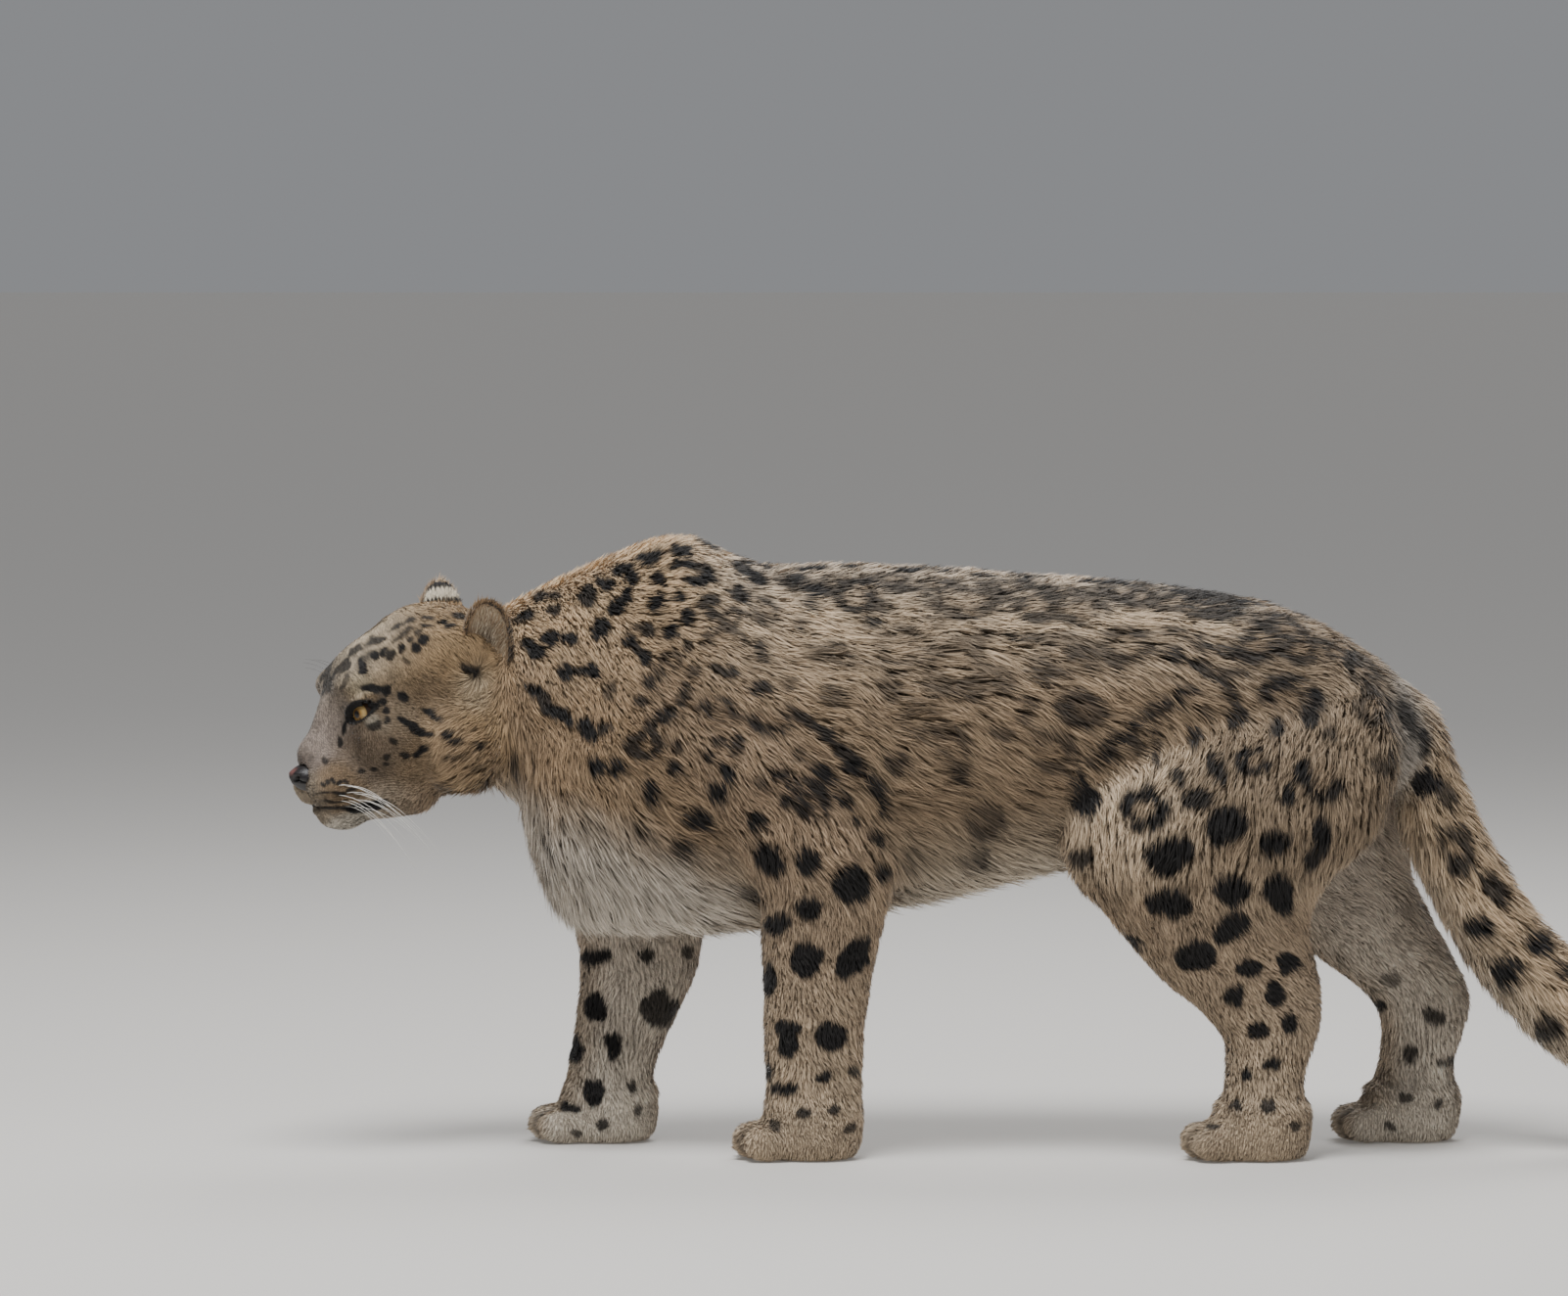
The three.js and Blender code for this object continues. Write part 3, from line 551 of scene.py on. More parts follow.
def mesh_arrays(mesh):
    points = np.empty(len(mesh.vertices) * 3)
    mesh.vertices.foreach_get("co", points)
    edges = np.empty(len(mesh.edges) * 2, int)
    mesh.edges.foreach_get("vertices", edges)
    return points.reshape(-1, 3), edges.reshape(-1, 2)


def set_points(mesh, points):
    mesh.vertices.foreach_set("co", points.ravel())
    mesh.update()


def vertex_normals(mesh):
    normals = np.empty(len(mesh.vertices) * 3)
    mesh.vertex_normals.foreach_get("vector", normals)
    return normals.reshape(-1, 3)


def neighbour_mean(values, edges, counts):
    total = np.zeros_like(values)
    for a, b in ((0, 1), (1, 0)):
        for k in range(values.shape[1]):
            total[:, k] += np.bincount(edges[:, a], values[edges[:, b], k], len(values))
    return total / counts[:, None]


def smoothed(values, edges, rounds, share=0.6, weight=1.0):
    counts = np.maximum(np.bincount(edges.ravel(), minlength=len(values)), 1)
    for _ in range(rounds):
        values = values + (neighbour_mean(values, edges, counts) - values) * share * weight
    return values


def eye_directions(side):
    """An eye's gaze, the way across it towards its outer corner, and up, in the head's directions."""
    level = math.cos(EYE_UP)
    gaze = np.array((math.cos(EYE_OUTWARD) * level, side * math.sin(EYE_OUTWARD) * level, math.sin(EYE_UP)))
    outer = np.array((-math.sin(EYE_OUTWARD), side * math.cos(EYE_OUTWARD), 0))
    up = np.array((0, 0, 1.0)) - gaze * gaze[2]
    up /= np.linalg.norm(up)
    c, s = math.cos(EYE_SLANT), math.sin(EYE_SLANT)
    return gaze, c * outer + s * up, c * up - s * outer


def eye_place(points):
    """Points of the head, folded to one side, in the directions of the eye there: ahead, outer, up."""
    folded = points * (1, 0, 1) + np.abs(points) * (0, 1, 0) - EYE_AT
    return folded @ np.array(eye_directions(1)).T


def lid_opening(place):
    """How far a point is outside the opening of the lids, as a share: 0 in the middle, 1 on the rim."""
    ahead, outer, up = np.moveaxis(place, -1, 0)
    half, high, low = LIDS
    height = np.where(up > 0, high, low)
    u = np.abs(outer) / half
    return np.where(ahead > 0, np.sqrt(u**1.7 + (np.abs(up) / height) ** 2), 9)


def mouth_distance(points):
    """How far points of the head are from the line between the lips, seen from the side, and its share."""
    line = np.array(MOUTH, float)
    best = np.full(len(points), 1e3)
    where = np.zeros(len(points))
    flat = points[:, [0, 2]]
    for a, b in zip(line, line[1:]):
        t = np.clip(((flat - a) @ (b - a)) / ((b - a) @ (b - a)), 0, 1)
        gap = np.linalg.norm(flat - a - t[:, None] * (b - a), axis=1)
        closer = gap < best
        best = np.where(closer, gap, best)
        where = np.where(closer, a[0] + t * (b[0] - a[0]), where)
    return best, where


def face_field(points):
    """The head's surface with its finer forms; lengths in millimetres, negative inside."""
    field = head_field(points)
    place = eye_place(points)
    lids = np.linalg.norm(place, axis=-1) - (EYE_RADIUS + 1.8)
    hood = nearness(place, np.array((6.0, 3, 9)), np.array((14.0, 19, 7)))
    field = soft_join(soft_join(field, lids, 6), hood, 9)
    # the groove between lips, and from the lips up to the nose
    gap, along = mouth_distance(points)
    open_here = ramp(along, MOUTH_END - 4, MOUTH_END + 6)
    groove = np.exp(-((gap / 1.9) ** 2))
    swell = np.exp(-(((gap - 5) / 3.0) ** 2))
    field = field + MOUTH_GROOVE * open_here * groove - 1.0 * open_here * swell
    forward, aside, up = np.moveaxis(points, -1, 0)
    front = ramp(forward, 185, 200)
    cleft = np.exp(-((aside / 1.6) ** 2)) * ramp(-95 - up, 0, 6) * ramp(up + 124, 0, 6)
    field = field + MOUTH_GROOVE * front * cleft
    # the skin falls back behind the edge of the nose
    pad = nearness(points, NOSE_AT, NOSE_SIZE)
    field = field + 4.5 * ramp(2.0 - pad, 0, 3) * ramp(up + 103, 0, 8)
    # rows of the whiskers on their pads
    for row in range(4):
        level = -92 - 7.5 * row
        furrow = 0.3 * np.exp(-(((up - level) / 2.4) ** 2))
        field = field - furrow * ramp(forward, 155, 170) * ramp(np.abs(aside), 12, 18)
    return field


def onto_face(points, normals, rounds=6):
    """Moves points of the head along their normals until they lie on the face's surface."""
    for _ in range(rounds):
        out = face_field(points)
        slope = (face_field(points + normals * 0.4) - out) / 0.4
        slope = np.where(np.abs(slope) < 0.35, 0.35 * np.where(slope < 0, -1, 1), slope)
        points = points - normals * np.clip(out / slope, -3, 3)[:, None]
    return points


points, edges = mesh_arrays(fused)
in_head = into_head(points)
face = ramp(in_head[:, 0], 40, 90) * ramp(in_head[:, 2], -150, -120)
low_foot = ramp(95 - points[:, 2], 0, 40)
ease = (1 - face) * (1 - 0.93 * low_foot)
points = smoothed(points, edges, SKIN_ROUNDS, 0.6, ease[:, None])
points = smoothed(points, edges, 1, 0.4, ease[:, None])
points[:, 2] = np.maximum(points[:, 2], 1.5)
set_points(fused, points)

FINE = [((70, 240), (0, 90), (-150, 60)), ((112, 230), (0, 62), (-130, 22)), ((122, 178), (14, 62), (-48, 6))]
detail = bmesh.new()
detail.from_mesh(fused)
for (f0, f1), (s0, s1), (h0, h1) in FINE:
    places = into_head([v.co for v in detail.verts])
    from_middle = np.abs(places[:, 1])
    near = (places[:, 0] > f0) & (places[:, 0] < f1) & (from_middle >= s0) & (from_middle < s1)
    near &= (places[:, 2] > h0) & (places[:, 2] < h1)
    detail.verts.ensure_lookup_table()
    chosen = [f for f in detail.faces if all(near[v.index] for v in f.verts)]
    cut = list({edge for f in chosen for edge in f.edges})
    bmesh.ops.subdivide_edges(detail, edges=cut, cuts=1, use_grid_fill=True, smooth=0)
    detail.verts.index_update()
bmesh.ops.triangulate(detail, faces=[f for f in detail.faces if len(f.verts) > 4])
detail.to_mesh(fused)
detail.free()

points, edges = mesh_arrays(fused)
normals = vertex_normals(fused)
in_head = into_head(points)
face = ramp(in_head[:, 0], 72, 100) * ramp(in_head[:, 2], -148, -125)
chosen = np.flatnonzero(face > 0)
local_normals = into_head(normals[chosen] + HEAD_PIVOT)
moved = onto_face(in_head[chosen], local_normals)
share = face[chosen][:, None]
points[chosen] = points[chosen] * (1 - share) + head_point(moved) * share
points[chosen] = smoothed(points, edges, 1, 0.5)[chosen]

# inside the lids the skin turns in behind the eyeball
in_head = into_head(points)
place = eye_place(in_head)
opening = lid_opening(place)
inner = np.flatnonzero(opening < 1)
inward = ramp(1 - opening[inner], 0, 0.12)[:, None]
reach = np.linalg.norm(place[inner], axis=1, keepdims=True)
pulled = place[inner] * (1 - inward) + place[inner] / reach * 11 * inward
sides = np.where(in_head[inner, 1] < 0, -1, 1)
turned = pulled @ np.array(eye_directions(1)) + EYE_AT
turned[:, 1] *= sides
points[inner] = head_point(turned)
set_points(fused, points * MM)
fused.shade_smooth()

# Lie of the coat
# Every point of the skin knows which way its hairs lie, how long they are and how deep the coat is there.
# These come from the tubes under it and are evened out over the skin, so that the coat turns smoothly.

# Length of the hairs, depth of the coat over the skin, width of a tuft, tufts to the square centimetre
COAT = {
    "back": (19, 8, 1.4, 25),
    "neck": (15, 7, 1.3, 31),
    "flank": (29, 9, 1.6, 22),
    "belly": (48, 19, 1.9, 18),
    "chest": (36, 14, 1.6, 24),
    "leg": (11, 4.4, 1.3, 32),
    "thigh": (19, 8, 1.5, 23),
    "paw": (6, 2.6, 1.0, 44),
    "tail": (28, 12, 1.7, 21),
    "face": (4.4, 1.7, 0.75, 125),
    "muzzle": (3.0, 1.0, 0.65, 160),
    "crown": (7.5, 3.0, 0.9, 68),
    "ruff": (18, 7.5, 1.2, 42),
    "ear_base": (17, 6.5, 0.85, 66),
}
COAT_SEED = 11
# How many times the lie and the kind of the coat are evened out over the skin
LIE_ROUNDS = 22
KIND_ROUNDS = 7
# The way into an ear, in the head's directions: hairs fan out from there
EAR_CANAL_AT = np.array((46.0, 64, 17))


def cloud(points, size, seed):
    """Smooth noise between -1 and 1 whose lumps are about `size` across."""
    p = points / size + seed * 17.31
    cell = np.floor(p).astype(np.int64)
    f = p - cell
    f = f * f * (3 - 2 * f)
    total = 0
    for dx in (0, 1):
        for dy in (0, 1):
            for dz in (0, 1):
                h = (cell[:, 0] + dx) * 73856093 ^ (cell[:, 1] + dy) * 19349663 ^ (cell[:, 2] + dz) * 83492791
                h = (h ^ (h >> 13)) * 1274126177 & 0xFFFFFFF
                value = (h ^ (h >> 11)) % 100003 / 50001.5 - 1
                total = total + value * (
                    (f[:, 0] if dx else 1 - f[:, 0])
                    * (f[:, 1] if dy else 1 - f[:, 1])
                    * (f[:, 2] if dz else 1 - f[:, 2])
                )
    return total


def kind_row(name):
    return np.array(COAT[name], float)


def mix_rows(a, b, share):
    return a + (b - a) * share[..., None]


def section_lies(sections):
    centres = np.array([section.mean(axis=0) for section in sections])
    return unit(np.gradient(centres, axis=0))


source_points, source_lies, source_coats = [], [], []
for section in trunk_sections:
    x = section[:, 0]
    turns = turns_of(len(section))
    low = np.arccos(np.cos(turns)) / math.pi
    front = ramp(-500 - x, 0, 70)
    bib = ramp(-440 - x, 0, 90) * ramp(low, 0.5, 0.68)
    droop = 0.15 + 0.75 * low + front * (0.9 + 1.2 * low)
    lie = np.stack([np.ones_like(x), 0.2 * np.sin(turns) * (1 - low), -droop], -1)
    rows = mix_rows(kind_row("back"), kind_row("flank"), ramp(low, 0.08, 0.3))
    rows = mix_rows(rows, kind_row("belly"), ramp(low, 0.62, 0.85))
    rows = mix_rows(rows, kind_row("neck"), ramp(-370 - x, 0, 70) * ramp(0.66 - low, 0, 0.2))
    rows = mix_rows(rows, kind_row("chest"), bib)
    rows = mix_rows(rows, kind_row("thigh"), ramp(x, 90, 190) * ramp(low, 0.1, 0.3))
    source_points.append(section)
    source_lies.append(lie)
    source_coats.append(rows)
for name, sections in leg_sections.items():
    for section, along in zip(sections, section_lies(sections)):
        lie = along + (0.25, 0, 0)
        z = section[:, 2]
        rows = mix_rows(kind_row("leg"), kind_row("thigh"), ramp(z, 200, 340))
        rows = mix_rows(rows, kind_row("paw"), ramp(70 - z, 0, 30))
        source_points.append(section)
        source_lies.append(np.repeat(lie[None], len(section), 0))
        source_coats.append(rows)
for table in LEGS.values():
    _, x, _, _, _, y = table[-1]
    for z in (4, 20, 40):
        for ahead in (-60, -40, -15, 15, 40):
            source_points.append(np.array([(x + ahead, y, z)], float))
            source_lies.append(np.array([(-1.0, 0, -0.35)]))
            source_coats.append(kind_row("paw")[None])
for section, along in zip(tail_sections, tail_ahead):
    source_points.append(section)
    source_lies.append(np.repeat(along[None], len(section), 0))
    source_coats.append(np.repeat(kind_row("tail")[None], len(section), 0))
forward, aside, up = np.moveaxis(into_head(head_points), -1, 0)
lie = np.stack([NOSE_AT[0] + 6 - forward, aside * 1.15, up - NOSE_AT[2] - 6], -1)
behind = ramp(120 - forward, 0, 70)
lie = unit(lie)
lie[:, 2] -= 0.9 * behind * ramp(20 - up, 0, 60)
lie[:, 1] += 0.25 * np.sign(aside) * behind * ramp(20 - up, 0, 60)
rows = mix_rows(kind_row("face"), kind_row("muzzle"), ramp(forward, 150, 185))
rows = mix_rows(rows, kind_row("crown"), ramp(140 - forward, 0, 60) * ramp(up, -40, 20))
rows = mix_rows(rows, kind_row("ruff"), ramp(104 - forward, 0, 46) * ramp(6 - up, 0, 50))
source_points.append(head_points)
source_lies.append(head_axes(lie))
source_coats.append(rows)

source_points = np.concatenate(source_points)
source_lies = unit(np.concatenate(source_lies))
source_coats = np.concatenate(source_coats)
nearest = KDTree(len(source_points))
for i, point in enumerate(source_points):
    nearest.insert(point, i)
nearest.balance()

points, edges = mesh_arrays(fused)
points = points / MM
normals = vertex_normals(fused)
source = np.array([nearest.find(point)[1] for point in points])
skin_lies = source_lies[source]
skin_coats = source_coats[source]
skin_lies = smoothed(skin_lies, edges, LIE_ROUNDS, 0.7)
# round each ear the hairs fan out over the cheek
folded = into_head(points)
folded[:, 1] = np.abs(folded[:, 1])
from_ear = folded - EAR_CANAL_AT
at_ear = 0.85 * ramp(31 - np.linalg.norm(from_ear * (1, 0.6, 1.15), axis=1), 0, 22)
wander = np.column_stack([cloud(points, 11, s) * 11 for s in (61, 62, 63)])
fan_out = unit(head_axes((from_ear + wander + (3, 0, -3)) * (1, 0, 1)))
skin_lies = unit(skin_lies) * (1 - at_ear)[:, None] + fan_out * at_ear[:, None]
skin_lies = unit(skin_lies - normals * np.sum(skin_lies * normals, axis=1, keepdims=True))
skin_coats = smoothed(skin_coats, edges, KIND_ROUNDS, 0.7)
skin_coats = mix_rows(skin_coats, kind_row("ear_base"), at_ear)

# Markings
# The skin and the coat carry the same colours. The ground colour goes from buff on the back to nearly
# white below; the spots and rosettes are placed one by one as they stand on the left side of the animal.

# Ground colours from the top of a part down, as shares of its height. The pale tops of the trunk and the neck
# are partly the coat's own colour and partly painted light from above.
GROUND = {
    "trunk": [
        (0, (190, 173, 152)),
        (0.12, (190, 168, 140)),
        (0.4, (150, 128, 102)),
        (0.72, (146, 125, 100)),
        (0.86, (160, 144, 122)),
        (1, (190, 178, 160)),
    ],
    "neck": [(0, (208, 180, 144)), (0.4, (153, 128, 99)), (1, (140, 119, 94))],
    "bib": [(0, (184, 172, 156)), (1, (198, 188, 174))],
    "thigh": [(0, (200, 178, 150)), (0.5, (146, 127, 104)), (1, (172, 152, 127))],
    "leg": [(0, (154, 131, 106)), (1, (188, 168, 142))],
    # the inner sides of the legs are partly pale of their own and partly painted light that lifts the far
    # legs out of their shade
    "inner": [(0, (204, 190, 174)), (1, (218, 206, 188))],
    "tail": [(0, (184, 160, 130)), (1, (198, 182, 160))],
}
FUR_BLACK = (24, 21, 20)
ROSETTE_INSIDE = (112, 92, 70)
# painted shade: a darker, greyer colour round and under the root of the tail
RUMP_SHADE = (150, 142, 132)
# The bib's upper edge: its height at the throat, where that is, and its fall for each millimetre back
BIB_TOP = 378
BIB_FRONT = -645
BIB_FALL = 0.36


def linear(colour):
    c = np.array(colour, float) / 255
    return np.where(c <= 0.04045, c / 12.92, ((c + 0.055) / 1.055) ** 2.4)


def ladder(name, share):
    stops = GROUND[name]
    at = [stop for stop, _ in stops]
    colours = linear([colour for _, colour in stops])
    return np.stack([np.interp(share, at, colours[:, k]) for k in range(3)], -1)


# Marks of the left side as the photo shows them: across and down in millimetres from its upper left
# corner, width, height, tilt in degrees, strength, and S for a full spot, R for a ring, A for an arch
# that is open below and U for one that is open above
BODY_MARKS = [
    (540, 629, 19, 9, 0, 1, "S"),
    (567, 624, 15, 8, 0, 0.9, "S"),
    (553, 609, 14, 8, 0, 0.9, "S"),
    (568, 609, 8, 6, 0, 0.8, "S"),
    (533, 611, 9, 5, 0, 0.7, "S"),
    (519, 612, 10, 5, 0, 0.8, "S"),
    (601, 610, 18, 16, 20, 0.95, "S"),
    (563, 652, 17, 12, 20, 1, "S"),
    (582, 652, 17, 12, -15, 1, "S"),
    (540, 656, 14, 9, 0, 1, "S"),
    (548, 666, 18, 12, 0, 1, "S"),
    (613, 641, 26, 15, 68, 1, "S"),
    (580, 686, 15, 12, 0, 1, "S"),
    (593, 684, 22, 8, 0, 0.9, "S"),
    (606, 685, 14, 13, 30, 1, "S"),
    (629, 620, 14, 12, 40, 1, "S"),
    (638, 609, 14, 9, 60, 1, "S"),
    (645, 593, 15, 10, 35, 1, "S"),
    (634, 583, 13, 10, 0, 1, "S"),
    (622, 597, 10, 9, 30, 1, "S"),
    (614, 594, 8, 6, 30, 0.9, "S"),
    (658, 571, 18, 11, 0, 1, "S"),
    (659, 556, 18, 11, 40, 1, "S"),
    (630, 567, 12, 9, 20, 1, "S"),
    (606, 575, 10, 6, 20, 1, "S"),
    (692, 564, 19, 13, 0, 1, "S"),
    (696, 549, 12, 7, 30, 1, "S"),
    (706, 549, 11, 9, 0, 1, "S"),
    (719, 563, 26, 17, -48, 1, "S"),
    (705, 577, 13, 7, 0, 1, "S"),
    (691, 578, 13, 6, 20, 1, "S"),
    (712, 594, 22, 9, -10, 1, "S"),
    (722, 590, 14, 14, 30, 1, "S"),
    (718, 582, 22, 7, -20, 0.9, "S"),
    (673, 592, 18, 11, -50, 1, "S"),
    (669, 616, 20, 12, 70, 1, "S"),
    (693, 611, 14, 12, 0, 1, "S"),
    (703, 631, 15, 12, 20, 1, "S"),
    (685, 644, 15, 14, 0, 1, "S"),
    (662, 644, 12, 9, -20, 0.9, "S"),
    (651, 641, 10, 5, 0, 0.7, "S"),
    (719, 616, 12, 11, 0, 0.9, "S"),
    (731, 612, 12, 9, 0, 0.9, "S"),
    (727, 626, 13, 8, 0, 0.9, "S"),
    (755, 607, 22, 12, -20, 0.95, "S"),
    (747, 630, 18, 14, 20, 0.8, "R"),
    (781, 626, 24, 22, -30, 0.75, "R"),
    (758, 581, 26, 12, -35, 0.95, "S"),
    (772, 592, 24, 12, -30, 1, "S"),
    (811, 593, 18, 10, 30, 1, "S"),
    (829, 603, 26, 14, -15, 1, "S"),
    (824, 616, 18, 13, -70, 1, "S"),
    (873, 609, 42, 32, 0, 0.9, "R"),
    (887, 636, 17, 10, -10, 0.95, "S"),
    (902, 621, 18, 16, 60, 0.7, "S"),
    (817, 638, 16, 10, -10, 0.7, "S"),
    (644, 656, 16, 8, -30, 1, "S"),
    (652, 663, 14, 8, -40, 0.9, "S"),
    (660, 670, 15, 11, -30, 1, "S"),
    (687, 673, 15, 13, 0, 0.6, "R"),
    (704, 658, 9, 9, 0, 0.8, "S"),
    (670, 686, 14, 12, 30, 0.55, "S"),
    (663, 695, 9, 12, 0, 0.9, "S"),
    (740, 657, 38, 34, 0, 0.75, "A"),
    (733, 683, 14, 9, -20, 0.85, "S"),
    (747, 687, 14, 9, 0, 0.9, "S"),
    (708, 687, 15, 10, 20, 0.55, "S"),
    (777, 664, 24, 12, -60, 0.85, "S"),
    (779, 704, 20, 12, -15, 0.95, "S"),
    (806, 698, 11, 16, 0, 0.6, "S"),
    (698, 710, 10, 20, 0, 0.8, "S"),
    (656, 716, 14, 12, 0, 0.8, "S"),
    (680, 731, 24, 12, 20, 0.95, "S"),
    (622, 704, 10, 20, 0, 0.6, "S"),
    (664, 744, 14, 16, 0, 0.85, "S"),
    (544, 705, 20, 11, -35, 1, "S"),
    (556, 715, 16, 8, -60, 0.9, "S"),
    (572, 731, 34, 12, -32, 1, "S"),
    (599, 746, 22, 13, -60, 1, "S"),
    (615, 744, 18, 8, 10, 0.9, "S"),
    (734, 729, 34, 28, 0, 0.9, "A"),
    (785, 732, 38, 28, 0, 0.95, "U"),
    (658, 760, 32, 20, 0, 0.85, "R"),
    (691, 762, 10, 14, 0, 0.8, "S"),
    (610, 783, 15, 18, 0, 1, "S"),
    (630, 783, 18, 15, 20, 1, "S"),
    (689, 784, 14, 13, 0, 1, "S"),
    (664, 809, 15, 23, 0, 1, "S"),
    (722, 771, 10, 11, 0, 0.9, "S"),
    (734, 757, 12, 9, 40, 0.8, "S"),
    (752, 760, 13, 17, 0, 0.85, "S"),
    (743, 789, 26, 10, -65, 1, "S"),
    (732, 809, 18, 16, 0, 1, "S"),
    (713, 835, 28, 19, -20, 1, "S"),
    (696, 866, 20, 20, 0, 0.85, "S"),
    (654, 848, 8, 14, 0, 0.6, "S"),
    (793, 802, 36, 26, 0, 0.95, "A"),
    (802, 818, 10, 12, 0, 0.95, "S"),
    (829, 817, 30, 36, 0, 0.95, "R"),
    (829, 810, 18, 14, 0, 0.6, "S"),
    (774, 838, 19, 16, 0, 1, "S"),
    (841, 789, 28, 11, -40, 1, "S"),
    (815, 774, 10, 14, 0, 0.6, "S"),
    (820, 732, 36, 8, -38, 0.9, "S"),
    (843, 751, 30, 12, -42, 0.95, "S"),
    (862, 770, 26, 10, -42, 0.9, "S"),
    (872, 783, 24, 18, 0, 1, "S"),
    (896, 803, 26, 15, -68, 1, "S"),
    (902, 826, 13, 13, 0, 1, "S"),
    (863, 815, 11, 15, 0, 1, "S"),
    (873, 837, 14, 12, 0, 1, "S"),
    (894, 854, 13, 15, 0, 0.95, "S"),
    (786, 877, 36, 22, -65, 1, "S"),
    (824, 878, 26, 28, 0, 1, "S"),
    (769, 910, 22, 16, 0, 0.9, "S"),
    (826, 926, 26, 19, 0, 1, "S"),
    (869, 903, 38, 40, 0, 1, "S"),
    (902, 890, 13, 20, 0, 1, "S"),
    (796, 944, 28, 20, 30, 1, "S"),
    (832, 667, 24, 16, -30, 0.5, "S"),
    (860, 670, 32, 20, -40, 0.55, "R"),
    (915, 664, 36, 42, 0, 0.45, "R"),
    (850, 710, 30, 20, -30, 0.5, "S"),
    (908, 704, 32, 20, -50, 0.5, "S"),
    (916, 779, 22, 24, -30, 0.75, "S"),
    (919, 583, 42, 9, 0, 0.8, "S"),
    (1018, 589, 22, 8, -5, 0.8, "S"),
    (1045, 595, 20, 8, 0, 0.85, "S"),
    (984, 613, 74, 32, -4, 0.75, "R"),
    (1057, 618, 46, 30, -4, 0.8, "R"),
    (1104, 624, 48, 24, -4, 0.75, "R"),
    (1120, 606, 22, 10, 0, 0.7, "S"),
    (1157, 608, 52, 20, -6, 0.8, "R"),
    (1232, 616, 70, 30, -10, 0.9, "R"),
    (1287, 622, 20, 10, -15, 0.9, "S"),
    (1318, 630, 38, 17, -22, 0.85, "R"),
    (1279, 660, 38, 30, 10, 0.9, "R"),
    (1328, 665, 40, 22, 10, 0.8, "R"),
    (1363, 667, 26, 16, -20, 0.6, "R"),
    (1388, 661, 18, 22, -40, 0.8, "S"),
    (1031, 649, 14, 10, 0, 0.9, "S"),
    (1056, 653, 18, 10, 0, 0.7, "S"),
    (976, 681, 62, 50, -30, 0.45, "R"),
    (1000, 652, 22, 14, 0, 0.5, "S"),
    (945, 640, 22, 16, 0, 0.5, "R"),
    (1089, 670, 60, 40, -10, 0.5, "R"),
    (1098, 665, 22, 16, 0, 0.75, "S"),
    (1066, 688, 26, 18, -40, 0.75, "S"),
    (1148, 660, 46, 30, 0, 0.7, "R"),
    (1162, 649, 13, 8, 0, 0.85, "S"),
    (1174, 665, 13, 6, 0, 0.8, "S"),
    (1143, 678, 20, 8, 10, 0.8, "S"),
    (1201, 669, 23, 16, 10, 0.9, "S"),
    (1227, 658, 14, 17, 0, 0.85, "S"),
    (1225, 678, 18, 12, 0, 0.85, "S"),
    (1197, 645, 25, 7, 0, 0.75, "S"),
    (1251, 664, 17, 11, -10, 0.85, "S"),
    (1104, 724, 46, 34, -10, 0.8, "R"),
    (1104, 724, 34, 22, -10, 0.45, "S"),
    (1053, 716, 15, 16, 0, 0.55, "S"),
    (1047, 732, 15, 12, 20, 0.65, "S"),
    (1023, 748, 24, 12, 0, 0.55, "S"),
    (992, 704, 26, 20, -30, 0.5, "S"),
    (1024, 697, 24, 30, 0, 0.45, "S"),
    (1075, 767, 42, 38, 0, 0.55, "R"),
    (1091, 764, 15, 10, 0, 0.7, "S"),
    (938, 735, 30, 34, -30, 0.4, "R"),
    (953, 700, 30, 26, 0, 0.4, "S"),
    (973, 764, 46, 26, -60, 0.5, "R"),
    (978, 790, 26, 13, -60, 0.75, "S"),
    (1007, 838, 34, 30, -20, 0.65, "R"),
    (1007, 838, 22, 22, 0, 0.4, "S"),
    (996, 876, 36, 17, 62, 0.7, "S"),
    (930, 880, 14, 30, 0, 0.35, "S"),
    (1206, 709, 44, 9, 32, 1, "S"),
    (1176, 728, 44, 10, 32, 1, "S"),
    (1147, 748, 44, 11, 38, 1, "S"),
    (1120, 772, 44, 11, 50, 1, "S"),
    (1100, 800, 38, 11, 64, 1, "S"),
    (1108, 818, 34, 28, 20, 1, "S"),
    (1170, 824, 42, 38, 0, 1, "R"),
    (1174, 812, 24, 10, -20, 1, "S"),
    (1134, 768, 16, 24, 0, 0.9, "S"),
    (1182, 764, 8, 40, 0, 0.85, "S"),
    (1158, 755, 12, 26, 20, 0.7, "S"),
    (1219, 753, 13, 23, 0, 0.95, "S"),
    (1243, 783, 36, 12, -62, 0.95, "S"),
    (1204, 795, 19, 12, -60, 0.9, "S"),
    (1222, 815, 28, 22, 0, 0.95, "S"),
    (1256, 706, 32, 10, -62, 0.95, "S"),
    (1262, 733, 20, 16, 60, 0.95, "S"),
    (1252, 687, 50, 8, 6, 0.8, "S"),
    (1232, 729, 14, 12, 0, 0.6, "S"),
    (1315, 716, 58, 46, -6, 1, "A"),
    (1305, 743, 13, 15, 0, 0.95, "S"),
    (1336, 730, 16, 22, 0, 0.95, "S"),
    (1280, 778, 25, 22, 0, 1, "R"),
    (1330, 789, 15, 21, 0, 1, "S"),
    (1316, 812, 15, 19, 0, 1, "S"),
    (1353, 799, 30, 30, 0, 0.95, "U"),
    (1359, 751, 15, 10, 0, 0.6, "S"),
    (1252, 842, 42, 36, 25, 1, "S"),
    (1303, 861, 28, 24, 0, 1, "S"),
    (1350, 850, 19, 28, 0, 1, "S"),
    (1342, 876, 26, 14, 45, 0.95, "S"),
    (1193, 873, 50, 36, 8, 1, "S"),
    (1104, 876, 26, 20, 0, 0.9, "S"),
    (1120, 917, 15, 20, 0, 0.95, "S"),
    (1193, 922, 44, 28, 6, 1, "S"),
    (1259, 909, 38, 30, 0, 1, "S"),
    (1307, 912, 40, 23, -68, 1, "S"),
    (1257, 947, 38, 26, 30, 1, "S"),
